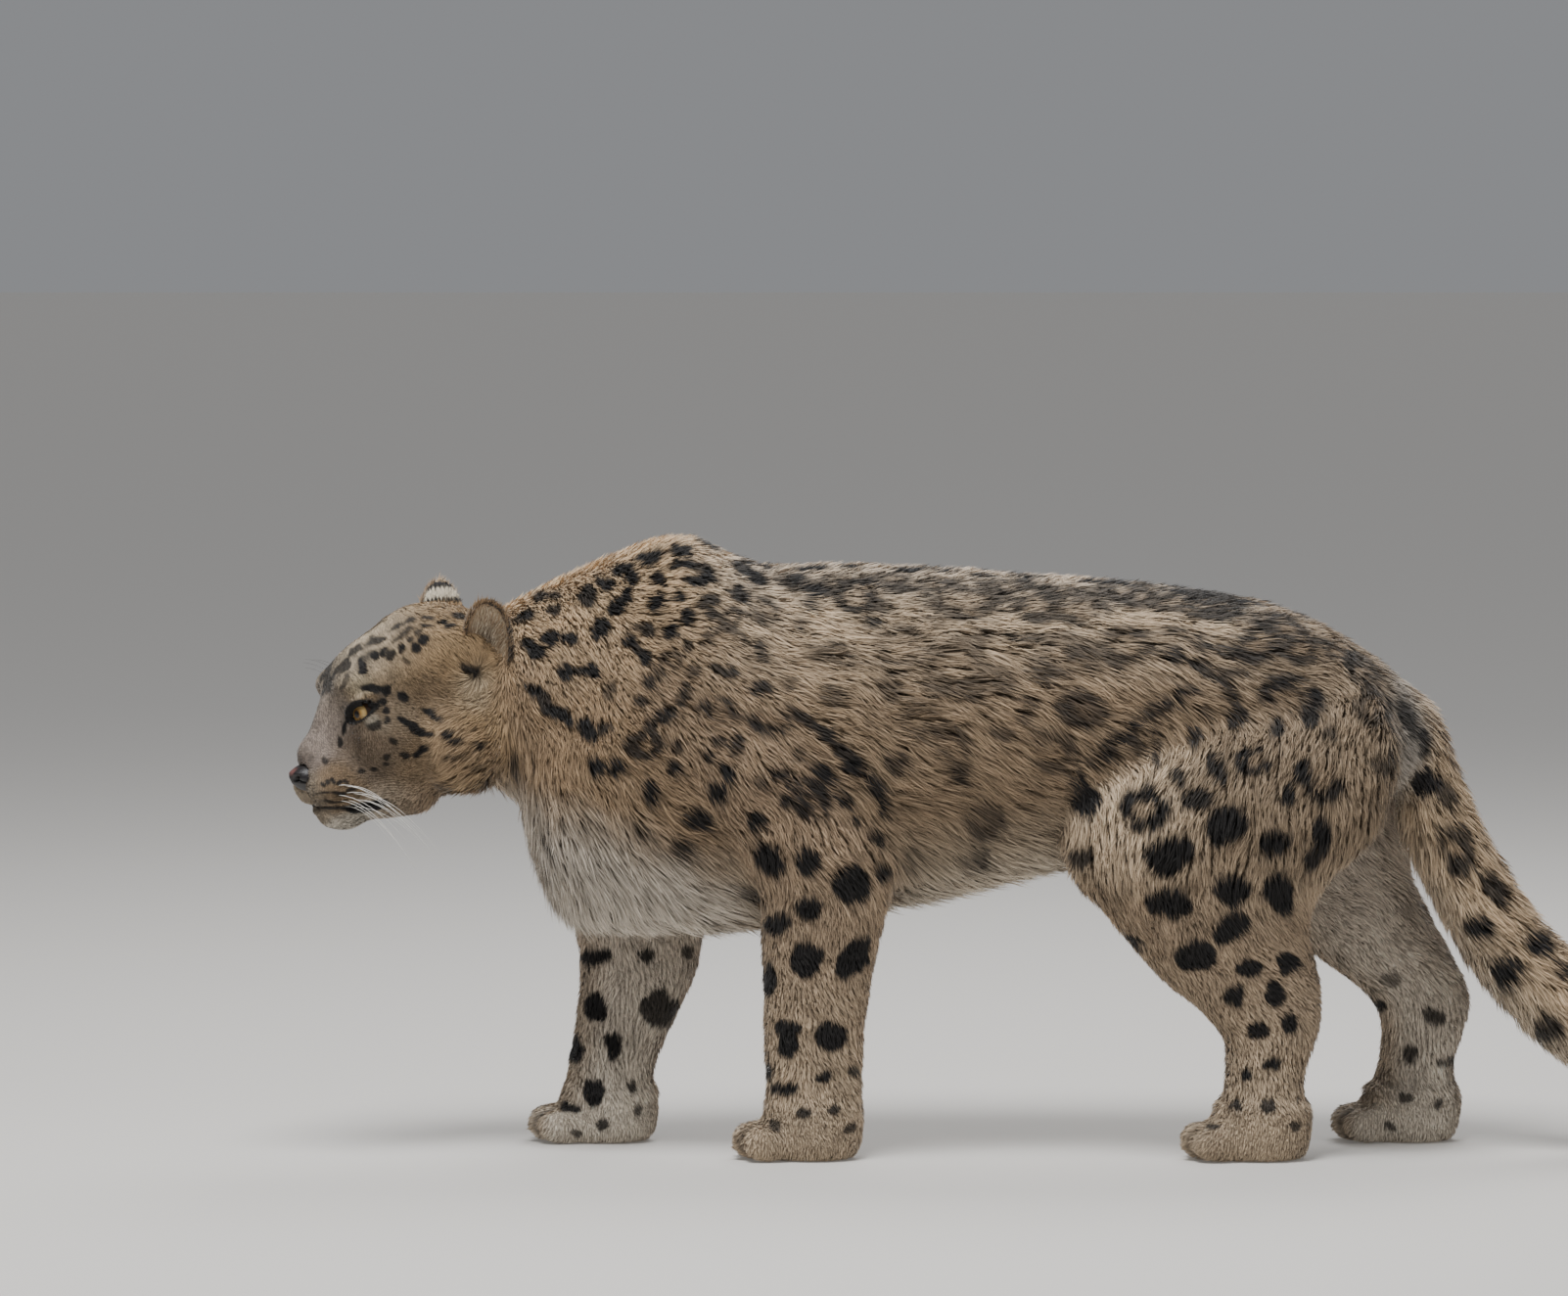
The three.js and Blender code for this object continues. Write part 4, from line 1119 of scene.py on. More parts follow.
    (1222, 976, 40, 29, 15, 1, "S"),
    (1157, 960, 32, 22, -50, 1, "S"),
    (1278, 988, 24, 14, 0, 1, "S"),
    (1316, 984, 24, 19, 0, 1, "S"),
    (1400, 676, 28, 22, -40, 0.5, "R"),
    (1403, 720, 34, 32, -30, 0.6, "R"),
    (1412, 780, 24, 15, 0, 0.6, "S"),
]
# Lower legs and the far legs' inner sides
LEG_MARKS = {
    "foreleg_left": [
        (824, 979, 36, 36, 0, 1, "S"),
        (872, 978, 46, 28, 62, 1, "S"),
        (787, 1000, 13, 36, 0, 1, "S"),
        (805, 1052, 26, 22, 0, 1, "S"),
        (806, 1068, 22, 24, 0, 1, "S"),
        (849, 1057, 34, 29, 0, 1, "S"),
        (786, 1092, 15, 28, 0, 1, "S"),
        (801, 1112, 26, 13, 0, 1, "S"),
        (842, 1100, 16, 12, 0, 1, "S"),
        (872, 1094, 10, 12, 0, 0.9, "S"),
        (822, 1136, 16, 12, 0, 0.9, "S"),
        (852, 1132, 14, 12, 0, 0.9, "S"),
        (793, 1150, 12, 9, 0, 0.8, "S"),
        (868, 1152, 12, 9, 0, 0.8, "S"),
    ],
    "foreleg_right": [
        (609, 976, 38, 15, 4, 1, "S"),
        (624, 941, 34, 18, 0, 0.6, "S"),
        (661, 974, 18, 14, 0, 0.95, "S"),
        (703, 974, 10, 12, 0, 0.8, "S"),
        (609, 1028, 25, 30, 0, 1, "S"),
        (673, 1030, 36, 40, 0, 0.9, "S"),
        (627, 1068, 18, 24, 0, 1, "S"),
        (608, 1115, 20, 30, 0, 1, "S"),
        (643, 1108, 8, 10, 0, 0.9, "S"),
        (651, 1131, 7, 12, 0, 0.8, "S"),
        (583, 1131, 17, 11, 0, 1, "S"),
        (582, 1094, 9, 14, 0, 0.9, "S"),
        (616, 1148, 14, 9, 0, 0.9, "S"),
        (590, 1158, 10, 7, 0, 0.8, "S"),
    ],
    "hindleg_left": [
        (1262, 1016, 24, 20, 0, 1, "S"),
        (1302, 1014, 22, 26, 0, 1, "S"),
        (1240, 1046, 18, 15, 0, 1, "S"),
        (1284, 1052, 24, 18, 0, 1, "S"),
        (1318, 1046, 15, 20, 0, 1, "S"),
        (1300, 1086, 18, 14, 0, 1, "S"),
        (1272, 1096, 14, 12, 0, 1, "S"),
        (1262, 1130, 14, 12, 0, 0.9, "S"),
        (1296, 1128, 14, 12, 0, 0.9, "S"),
        (1240, 1152, 12, 8, 0, 0.8, "S"),
        (1322, 1150, 12, 9, 0, 0.8, "S"),
    ],
    "hindleg_right": [
        (1464, 1038, 22, 16, -20, 0.8, "S"),
        (1502, 1031, 15, 20, 0, 0.8, "S"),
        (1423, 1001, 20, 14, 0, 0.4, "S"),
        (1440, 1076, 16, 18, 0, 0.8, "S"),
        (1478, 1084, 18, 14, 0, 0.8, "S"),
        (1436, 1122, 14, 12, 0, 0.8, "S"),
        (1470, 1128, 12, 12, 0, 0.8, "S"),
        (1420, 1152, 12, 8, 0, 0.8, "S"),
    ],
}
TAIL_MARKS = [
    (1453, 758, 9, 30, 0, 0.95, "S"),
    (1456, 798, 26, 24, 0, 1, "S"),
    (1484, 862, 38, 22, -52, 0.85, "R"),
    (1492, 884, 22, 20, 0, 0.9, "S"),
    (1510, 947, 30, 22, -30, 1, "S"),
    (1538, 990, 32, 28, -30, 1, "S"),
    (1571, 962, 28, 22, -40, 1, "S"),
    (1598, 991, 20, 14, -40, 1, "S"),
    (1458, 722, 40, 16, -60, 0.8, "S"),
    (1500, 802, 34, 16, -65, 0.8, "S"),
    (1516, 843, 26, 14, -62, 0.85, "S"),
    (1543, 899, 44, 18, -56, 0.9, "S"),
    (1580, 1048, 30, 24, -30, 0.9, "S"),
    (1628, 1026, 34, 30, -20, 1, "S"),
    (1650, 1078, 34, 24, -10, 0.9, "S"),
    (1690, 1040, 34, 34, 0, 1, "S"),
    (1722, 1092, 34, 24, 0, 0.9, "S"),
    (1748, 1050, 32, 44, 0, 1, "S"),
    (1790, 1096, 32, 26, 0, 0.9, "S"),
    (1806, 1050, 34, 50, 0, 1, "S"),
    (1866, 1064, 34, 80, -6, 1, "S"),
    (1922, 1048, 32, 90, -18, 1, "S"),
    (1974, 1014, 32, 96, -32, 1, "S"),
    (2024, 976, 44, 96, -40, 1, "S"),
]
HEAD_MARKS = [
    (354, 740, 4.5, 16, -25, 1, "S"),
    (384, 721, 11, 4, 32, 1, "S"),
    (385, 703, 32, 6, 4, 1, "S"),
    (396, 705, 9, 13, 0, 1, "S"),
    (371, 680, 8, 14, 20, 1, "S"),
    (385, 669, 7, 7, 0, 1, "S"),
    (392, 665, 6, 7, 0, 1, "S"),
    (399, 670, 7, 8, 0, 0.9, "S"),
    (410, 664, 7, 9, 0, 1, "S"),
    (424, 663, 8, 10, 0, 1, "S"),
    (433, 653, 10, 14, -25, 1, "S"),
    (420, 653, 5, 6, 0, 0.9, "S"),
    (414, 676, 6, 6, 0, 0.45, "S"),
    (452, 635, 12, 6, 0, 1, "S"),
    (458, 641, 12, 4, 0, 1, "S"),
    (427, 645, 8, 5, 30, 0.8, "S"),
    (410, 649, 22, 5, 38, 0.85, "S"),
    (404, 640, 18, 6, 25, 0.9, "S"),
    (418, 633, 14, 5, 15, 0.9, "S"),
    (435, 638, 12, 4, 0, 0.9, "S"),
    (438, 629, 14, 3, 0, 0.9, "S"),
    (471, 631, 16, 4, -5, 0.9, "S"),
    (383, 655, 22, 6, 34, 0.85, "S"),
    (364, 666, 16, 7, 40, 0.85, "S"),
    (374, 672, 20, 5, 36, 0.6, "S"),
    (352, 679, 16, 7, 50, 0.85, "S"),
    (343, 687, 26, 5, 62, 0.75, "S"),
    (334, 700, 22, 5, 72, 0.7, "S"),
    (353, 694, 20, 5, 60, 0.55, "S"),
    (392, 717, 8, 8, 0, 0.95, "S"),
    (396, 727, 8, 8, 0, 0.95, "S"),
    (397, 738, 6, 8, 0, 0.9, "S"),
    (411, 713, 9, 8, 0, 1, "S"),
    (384, 742, 17, 7, -22, 0.85, "S"),
    (426, 745, 40, 9, -31, 1, "S"),
    (444, 730, 21, 6, -36, 1, "S"),
    (456, 751, 12, 14, -30, 1, "S"),
    (466, 757, 17, 6, 20, 0.95, "S"),
    (490, 761, 14, 6, -32, 0.9, "S"),
    (465, 774, 28, 5, -5, 0.75, "S"),
    (488, 786, 10, 5, 0, 0.5, "S"),
    (414, 769, 10, 6, 0, 0.9, "S"),
    (430, 768, 13, 8, 0, 1, "S"),
    (402, 760, 7, 5, 0, 0.8, "S"),
    (397, 772, 7, 5, 0, 0.85, "S"),
    (394, 780, 6, 4, 0, 0.85, "S"),
    (370, 786, 4, 4, 0, 0.8, "S"),
    (381, 786, 5, 4, 0, 0.85, "S"),
    (348, 757, 7, 12, 0, 0.9, "S"),
    (331, 779, 4, 6, 0, 0.8, "S"),
    (329, 801, 4, 3, 0, 0.9, "S"),
    (335, 800, 4, 3, 0, 0.9, "S"),
    (341, 799, 4, 3, 0, 0.95, "S"),
    (347, 799, 4, 3, 0, 0.9, "S"),
    (352, 798, 3, 3, 0, 0.8, "S"),
    (332, 811, 14, 3, 4, 0.9, "S"),
    (347, 810, 14, 3, 6, 0.9, "S"),
    (359, 807, 10, 3, 10, 0.8, "S"),
    (340, 819, 20, 2, 4, 0.8, "S"),
    (482, 684, 20, 9, -22, 0.95, "S"),
    (461, 807, 19, 13, -20, 1, "S"),
    (502, 806, 10, 8, 0, 0.6, "S"),
    (521, 788, 24, 8, 78, 0.9, "S"),
]


class Mark:
    """A mark on the coat, seen along a direction: its middle, three axes and its sizes."""

    def __init__(self, at, right, up, row, coat):
        self.free, self.grown = coat
        _, _, self.width, self.height, tilt, self.strength, self.kind = row
        turn = math.radians(tilt)
        self.at = np.array(at)
        self.along = right * math.cos(turn) + up * math.sin(turn)
        self.over = up * math.cos(turn) - right * math.sin(turn)
        self.depth = np.cross(right, up)


# Marks along the spine, seen from above: the same columns, but place along the body and out from its middle
SPINE_MARKS = [
    (-392, 14, 30, 12, 8, 1, "S"),
    (-350, 21, 34, 13, -10, 1, "S"),
    (-304, 14, 38, 12, 6, 0.95, "S"),
    (-256, 20, 34, 13, -8, 1, "S"),
    (-210, 13, 40, 12, 6, 1, "S"),
    (-163, 20, 36, 13, -9, 0.95, "S"),
    (-117, 14, 38, 12, 5, 1, "S"),
    (-69, 19, 36, 12, -6, 1, "S"),
    (-22, 13, 40, 13, 8, 1, "S"),
    (25, 20, 36, 12, -8, 1, "S"),
    (70, 13, 38, 13, 4, 0.95, "S"),
    (115, 19, 34, 12, -9, 1, "S"),
    (158, 12, 30, 11, 6, 0.8, "S"),
    (-368, 46, 30, 20, 20, 0.7, "R"),
    (-320, 52, 36, 24, -14, 0.7, "R"),
    (-266, 46, 34, 22, 10, 0.7, "R"),
    (-212, 52, 38, 25, -8, 0.7, "R"),
    (-154, 47, 36, 22, 13, 0.7, "R"),
    (-98, 53, 38, 24, -6, 0.7, "R"),
    (-38, 46, 36, 22, 9, 0.7, "R"),
    (18, 51, 36, 24, -11, 0.7, "R"),
    (76, 45, 34, 22, 6, 0.65, "R"),
    (130, 46, 30, 20, -9, 0.6, "R"),
]


part_of_source = np.concatenate(
    [np.zeros(sum(len(s) for s in trunk_sections), int)]
    + [np.full(sum(len(s) for s in leg_sections[name]), k + 1) for k, name in enumerate(LEGS)]
    + [np.full(15, k + 1) for k in range(4)]
    + [np.full(sum(len(s) for s in tail_sections), 5), np.full(len(head_points), 6)]
)
skin_parts = np.eye(7)[part_of_source[source]]
skin_parts = smoothed(skin_parts, edges, 9, 0.7)

polygons = [tuple(p.vertices) for p in fused.polygons]
skin_tree = BVHTree.FromPolygons([Vector(p) for p in points], polygons)
face_parts = np.array([part_of_source[source[p[0]]] for p in polygons])
EYE_POINT = np.array(camera.location) / MM
VIEW_UP = np.array((0, math.sin(CAMERA_ELEVATION), math.cos(CAMERA_ELEVATION)))
RIGHT = np.array((1.0, 0, 0))
PHOTO_MIDDLE = (801, 662)


def mark_place(row, parts):
    """Where the line of sight through a mark meets the skin of one of the given parts."""
    across, down = row[:2]
    target = np.array(CAMERA_TARGET) / MM
    target = target + RIGHT * (across - PHOTO_MIDDLE[0]) + VIEW_UP * (PHOTO_MIDDLE[1] - down)
    direction = unit(target - EYE_POINT)
    start = target - direction * 1000
    for _ in range(8):
        hit, _, face_index, _ = skin_tree.ray_cast(Vector(start), Vector(direction))
        if hit is None:
            break
        if face_parts[face_index] in parts:
            return np.array(hit)
        start = np.array(hit) + direction * 1.0
    near = target + direction * ((-60 - target[1]) / direction[1])
    found = skin_tree.find_nearest(Vector(near))[0]
    return np.array(found)


def leg_shift(name, other, z):
    """From the middle of a leg to the middle of the opposite one at the same height."""
    here = spline(LEGS[name], np.array([z]))[0]
    there = spline(LEGS[other], np.array([z]))[0]
    return np.array((there[0] - here[0], 0, 0))


# How far over and under its place on the skin a mark reaches its full size, and how much is added to its
# half sizes, as long hairs blur it
ON_BODY = (16, 2.2)
ON_LEG = (8, 0.9)
ON_HEAD = (11, 1.0)
MIRROR = np.array((1, -1, 1))
UP = np.array((0, 0, 1.0))
marks = []
mark_rng = np.random.default_rng(COAT_SEED + 1)


def mirror_row(row):
    return row[:4] + (-row[4],) + row[5:]


for row in BODY_MARKS:
    at = mark_place(row, (0, 1, 3))
    marks.append(Mark(at, RIGHT, VIEW_UP, row, ON_BODY))
    shift = mark_rng.normal(0, 5, 3)
    other = np.array(skin_tree.find_nearest(Vector((at + shift) * MIRROR))[0])
    mirrored = Mark(other, RIGHT, UP, row, ON_BODY)
    marks.append(mirrored)
for row in SPINE_MARKS:
    for turned in (row, mirror_row(row)):
        side = 1 if turned is row else -1
        x, y = row[0] + mark_rng.normal(0, 5), side * row[1]
        hit = skin_tree.ray_cast(Vector((x, y, 900)), Vector((0, 0, -1)))[0]
        marks.append(Mark(hit, RIGHT, np.array((0, 1.0, 0)), turned, ON_BODY))
for row in TAIL_MARKS:
    at = mark_place(row, (5,))
    marks.append(Mark(at, RIGHT, VIEW_UP, row, ON_BODY))
    marks.append(Mark(at * MIRROR + (mark_rng.normal(0, 5), 0, 0), RIGHT, UP, row, ON_BODY))
for name, rows in LEG_MARKS.items():
    kind, word = name.split("_")
    other = f"{kind}_{'right' if word == 'left' else 'left'}"
    part = list(LEGS).index(name) + 1
    for row in rows:
        at = mark_place(row, (part,))
        marks.append(Mark(at, RIGHT, VIEW_UP, row, ON_LEG))
        shifted = at + leg_shift(name, other, at[2]) + (mark_rng.normal(0, 3), 0, mark_rng.normal(0, 3))
        marks.append(Mark(shifted * MIRROR, RIGHT, UP, row, ON_LEG))
for row in HEAD_MARKS:
    at = mark_place(row, (6,))
    marks.append(Mark(at, RIGHT, VIEW_UP, row, ON_HEAD))
    local = into_head(at)
    mirrored = head_point(local * MIRROR)
    # the view from the left, mirrored in the head's own middle plane
    right_local = into_head(RIGHT + HEAD_PIVOT) * MIRROR
    marks.append(Mark(mirrored, head_axes(right_local), UP, row, ON_HEAD))


def mark_cover(points):
    """How dark the marks make the coat at points, and how much it is the brown inside of a rosette."""
    dark = np.zeros(len(points))
    inside = np.zeros(len(points))
    warp = np.column_stack([cloud(points, 15, s) * 3.6 + cloud(points, 6, s + 3) * 2.2 for s in (5, 6, 7)])
    warped = points + warp
    grain = cloud(points, 9, 12)
    order = np.argsort(points[:, 0], kind="stable")
    xs = points[order, 0]
    for mark in marks:
        reach = 0.85 * max(mark.width, mark.height) + 8
        lo, hi = np.searchsorted(xs, (mark.at[0] - reach, mark.at[0] + reach))
        some = order[lo:hi]
        delta = warped[some] - mark.at
        close = (np.abs(delta[:, 2]) < reach) & (np.abs(delta[:, 1]) < reach + mark.free + 10)
        some, delta = some[close], delta[close]
        if not len(some):
            continue
        small = min(mark.width, mark.height)
        u = delta @ mark.along / (mark.width / 2 + mark.grown)
        v = delta @ mark.over / (mark.height / 2 + mark.grown)
        w = np.maximum(np.abs(delta @ mark.depth) - mark.free, 0) / (0.7 * max(mark.width, mark.height) + 4)
        r = np.sqrt(u * u + v * v + w * w)
        edge = 0.8 / max(small / 2, 2)
        if mark.kind == "S":
            cover = ramp(-r, -1 - edge, -1 + edge)
            fill = 0 * cover
        else:
            band = 0.36 if small > 30 else 0.44
            cover = ramp(-np.abs(r - 0.82), -band - 0.1, -band + 0.16)
            broken = ramp(grain[some], -0.75, -0.25)
            if mark.kind == "A":
                broken = broken * ramp(v, -0.55, -0.05)
            if mark.kind == "U":
                broken = broken * ramp(-v, -0.55, -0.05)
            cover = cover * broken
            fill = ramp(-r, -0.9, -0.5)
        dark[some] = np.maximum(dark[some], cover * (0.35 + 0.65 * mark.strength))
        inside[some] = np.maximum(inside[some], fill * min(1, mark.strength + 0.1))
    return dark, inside


def region_colour(points, parts, facing):
    """The ground colour of the coat at points, from the parts they belong to."""
    x, y, z = points.T
    rows = spline(TRUNK, x)
    low = np.clip((rows[:, 0] - z) / np.maximum(rows[:, 0] - rows[:, 1], 1), 0, 1)
    trunk = ladder("trunk", low)
    front = ramp(-400 - x, 0, 110)
    trunk = trunk + (ladder("neck", low) - trunk) * front[:, None]
    # the pale bib starts under a line from the throat down to the elbow
    bib_line = BIB_TOP - BIB_FALL * (x - BIB_FRONT) + 12 * cloud(points, 30, 23) + 9 * cloud(points, 9, 24)
    pale = ramp(bib_line - z, -30, 52) * ramp(-385 - x, 0, 60)
    trunk = trunk + (ladder("bib", low) - trunk) * pale[:, None]
    thigh = ladder("thigh", 0.5 * ramp(x, 0, 80) + 0.5 * ramp(335 - z, 0, 90))
    trunk = trunk + (thigh - trunk) * (ramp(x, 60, 160) * ramp(1.1 - low, 0, 0.3))[:, None]
    down = np.clip(1 - z / 360, 0, 1)
    outside = ladder("leg", down)
    outside = outside + (thigh - outside) * (ramp(x, -120, -60) * ramp(z, 230, 300))[:, None]
    # painted shade at the rear end of the trunk, round and under the root of the tail
    trunk = trunk + (linear(RUMP_SHADE) - trunk) * ramp(x, 232, 262)[:, None]
    inside = ladder("inner", down)
    side = np.where(y < 0, -1, 1)
    inward = ramp(-facing[:, 1] * side, -0.1, 0.7)
    inward = inward * (1 - 0.6 * ramp(-facing[:, 0], 0.2, 0.8))
    legs = outside + (inside - outside) * inward[:, None]
    tail = ladder("tail", ramp(-facing[:, 2], -0.2, 0.8))
    head = np.zeros((len(points), 3))
    on_head = parts[:, 6] > 1e-4
    head[on_head] = head_colour(points[on_head])
    colour = (
        trunk * parts[:, :1]
        + legs * parts[:, 1:5].sum(axis=1, keepdims=True)
        + tail * parts[:, 5:6]
        + head * parts[:, 6:7]
    )
    return colour / parts.sum(axis=1, keepdims=True)


# Colours of the face: forward, aside, up of a middle in the head's directions, its spread, and the colour
FACE_COLOURS = [
    ((70, 40, 60), 50, (164, 138, 104)),
    ((20, 50, -10), 50, (168, 140, 102)),
    ((120, 10, 50), 30, (172, 158, 136)),
    ((150, 0, 10), 20, (160, 147, 128)),
    ((165, 8, -20), 15, (164, 150, 137)),
    ((188, 6, -55), 18, (166, 152, 141)),
    ((180, 0, -75), 12, (146, 128, 116)),
    ((160, 24, -62), 14, (134, 118, 101)),
    ((178, 30, -86), 11, (138, 116, 90)),
    ((196, 14, -104), 12, (160, 145, 124)),
    ((170, 34, -104), 12, (140, 119, 93)),
    ((140, 45, -60), 18, (134, 117, 98)),
    ((147, 50, -28), 4, (196, 186, 168)),
    ((160, 40, -6), 4, (184, 166, 140)),
    ((42, 66, 2), 15, (192, 174, 146)),
    ((118, 52, -30), 16, (142, 124, 101)),
    ((100, 55, -70), 18, (154, 132, 104)),
    ((150, 30, -130), 14, (186, 178, 164)),
    ((120, 30, -120), 18, (170, 154, 132)),
    ((90, 30, -120), 24, (170, 148, 122)),
    ((60, 66, -60), 22, (168, 142, 110)),
    ((40, 70, -100), 22, (172, 148, 116)),
    ((80, 58, -6), 18, (134, 114, 90)),
    ((128, 58, -6), 7, (140, 122, 100)),
    ((136, 56, -34), 5, (150, 135, 114)),
    ((156, 40, 6), 6, (170, 156, 130)),
]


def head_colour(points):
    local = into_head(points)
    local = np.column_stack([local[:, 0], np.abs(local[:, 1]), local[:, 2]])
    total = np.zeros((len(points), 3))
    weight = np.zeros(len(points))
    for at, spread, colour in FACE_COLOURS:
        near = np.exp(-np.sum((local - at) ** 2, axis=1) / (2 * (0.75 * spread) ** 2)) / spread + 1e-12
        total += near[:, None] * linear(colour)
        weight += near
    return total / weight[:, None]


def coat_colour(points, parts, facing):
    """The colour of the coat, with its marks."""
    ground = region_colour(points, parts, facing)
    mottle = 1 + 0.12 * cloud(points, 40, 20) + 0.10 * cloud(points, 11, 21)
    mottle -= 0.30 * parts[:, 6] * ramp(cloud(points, 3.2, 22), 0.1, 0.7)
    ground = ground * mottle[:, None]
    dark, inside = mark_cover(points)
    # between the rosettes of the flank the coat is smudged with charcoal
    lumps = cloud(points, 24, 51) + 0.6 * cloud(points, 10, 52)
    flank = parts[:, 0] * ramp(points[:, 0], -330, -230) * ramp(150 - points[:, 0], 0, 90)
    shoulder = parts[:, 0] * ramp(-230 - points[:, 0], 0, 100) * ramp(points[:, 0], -600, -500)
    upper = ramp(points[:, 2], 320, 400)
    smudge = ramp(lumps, 0.1, 0.75) * (0.2 * flank + 0.2 * shoulder) * upper
    dark = np.maximum(dark, smudge)
    # painted shade: dark lines in the grooves between the toes
    for table in LEGS.values():
        foot_x, foot_y = table[-1][1], table[-1][5]
        aside = np.abs(points[:, 1] - foot_y)
        between = np.minimum(aside, np.abs(aside - TOE_SHADE_LINE))
        toes = ramp(foot_x - 26 - points[:, 0], 0, 16) * ramp(44 - points[:, 2], 0, 12) * (aside < 45)
        dark = np.maximum(dark, 0.6 * toes * (points[:, 0] > foot_x - 90) * np.exp(-((between / 2.6) ** 2)))
    # black lips and the skin round the eyes
    local = into_head(points)
    gap, along = mouth_distance(local)
    line = np.array(MOUTH, float)
    under = np.interp(along, line[2:, 0], line[2:, 1]) - local[:, 2] > 0
    rear = ramp(176 - along, 0, 14)
    lip_width = 1.5 + rear * np.where(under, 6.5, 1.2)
    lips = ramp(lip_width + 1.2 - gap, 0, 2) * ramp(along, MOUTH_END - 8, MOUTH_END)
    lips = lips * ramp(local[:, 0], 105, 118)
    place = eye_place(local)
    rim = ramp(-lid_opening(place), -1.32, -1.14) * (np.linalg.norm(place, axis=1) < 32)
    dark = np.maximum(dark, np.maximum(lips, rim))
    ground = ground + (linear(ROSETTE_INSIDE) * 1.15 - ground) * (0.42 * inside)[:, None]
    return ground + (linear(FUR_BLACK) - ground) * np.clip(dark, 0, 1)[:, None]

# Coat
# Tufts grow all over the skin. Each is a thin blade that rises out of the skin, bends over to lie along
# the body and tapers to its tip. Neighbours draw together into small locks.

# How far along a tuft its corners are, and how wide it is there as a share
TUFT_STEPS = (0.0, 0.42, 1.0)
TUFT_WIDTHS = (0.85, 1.0)
# two triangles from its root to its bend, and one up to its tip
TUFT_FACES = np.array([(0, 2, 1), (1, 2, 3), (2, 4, 3)])


def triangle_arrays(mesh):
    mesh.calc_loop_triangles()
    corners = np.empty(len(mesh.loop_triangles) * 3, int)
    mesh.loop_triangles.foreach_get("vertices", corners)
    loops = np.empty(len(mesh.loop_triangles) * 3, int)
    mesh.loop_triangles.foreach_get("loops", loops)
    return corners.reshape(-1, 3), loops.reshape(-1, 3)


def scatter(points, corners, density, rng):
    """Seeded places on a skin's triangles: which triangle, and the weights of its three corners."""
    a, b, c = (points[corners[:, k]] for k in range(3))
    areas = np.linalg.norm(np.cross(b - a, c - a), axis=1) / 2
    wanted = areas * density / 100 * 1
    counts = np.floor(wanted + rng.random(len(wanted))).astype(int)
    host = np.repeat(np.arange(len(counts)), counts)
    share = rng.random((len(host), 2))
    flip = share.sum(axis=1) > 1
    share[flip] = 1 - share[flip]
    return host, np.column_stack([1 - share.sum(axis=1), share])


def at_roots(values, corners, host, weights):
    return np.einsum("ij,ijk->ik", weights, values[corners[host]])


def lid_free(points):
    """True where hairs may grow: not in the eyes' openings, on the nose or between the lips."""
    local = into_head(points)
    place = eye_place(local)
    eyes = (lid_opening(place) > 1.12) | (np.linalg.norm(place, axis=1) > 30)
    gap, along = mouth_distance(local)
    lips = (gap > 1.6) | (along < MOUTH_END) | (local[:, 0] < 110)
    pad = nearness(local, NOSE_AT, NOSE_SIZE) > 1.0
    return eyes & lips & pad & (points[:, 2] > 2.5)


def lock_middles(roots, size):
    """The middle of the lock that each tuft belongs to; locks are about `size` across."""
    wander = np.column_stack([cloud(roots, 2.2 * size, s) for s in (41, 42, 43)])
    cell = np.floor(roots / size + 0.45 * wander)
    seeds = (cell @ np.array((12.9898, 78.233, 37.719)))[:, None] + (0.0, 1.7, 3.1)
    jitter = np.modf(np.abs(np.sin(seeds) * 43758.5453))[0]
    return (cell + 0.25 + 0.5 * jitter - 0.45 * wander) * size


def grow_tufts(roots, ups, lies, length, lift, width, lock_size, rng):
    """The corners of tufts: root left and right, bend left and right, tip."""
    across = np.cross(ups, lies)
    sway = 0.40 * cloud(roots, 36, 1) + 0.30 * cloud(roots, 13, 2) + 0.10 * rng.standard_normal(len(roots))
    along = unit(lies + across * sway[:, None])
    across = np.cross(ups, along)
    uneven = 1 + 0.28 * cloud(roots, 14, 3) + 0.16 * rng.standard_normal(len(roots))
    length = length * np.clip(uneven, 0.5, 1.5)
    lift = lift * np.clip(1 + 0.28 * cloud(roots, 12, 4) + 0.20 * rng.standard_normal(len(roots)), 0.25, 1.6)
    twist = 0.75 * rng.standard_normal(len(roots))
    width = width * rng.uniform(0.7, 1.25, len(roots))
    run = np.sqrt(np.maximum(length**2 - lift**2, (0.5 * length) ** 2))
    gather = lock_middles(roots, lock_size) - roots
    gather -= ups * np.sum(gather * ups, axis=1, keepdims=True)
    verts = []
    for step in TUFT_STEPS:
        rise = lift * (1 - (1 - step) ** 1.8) - 1.0 * (step == 0)
        middle = roots + along * (run * (0.35 * step + 0.65 * step**1.4))[:, None] + ups * rise[:, None]
        middle = middle + gather * (0.75 * step**1.2)
        if step == 1:
            verts.append(middle)
            break
        half = width * TUFT_WIDTHS[TUFT_STEPS.index(step)] / 2
        side = unit(across + ups * twist[:, None]) * half[:, None]
        verts += [middle - side, middle + side]
    verts = np.stack(verts, 1)
    verts[..., 2] = np.maximum(verts[..., 2], 0.4)
    return verts, np.linalg.norm(gather, axis=1)


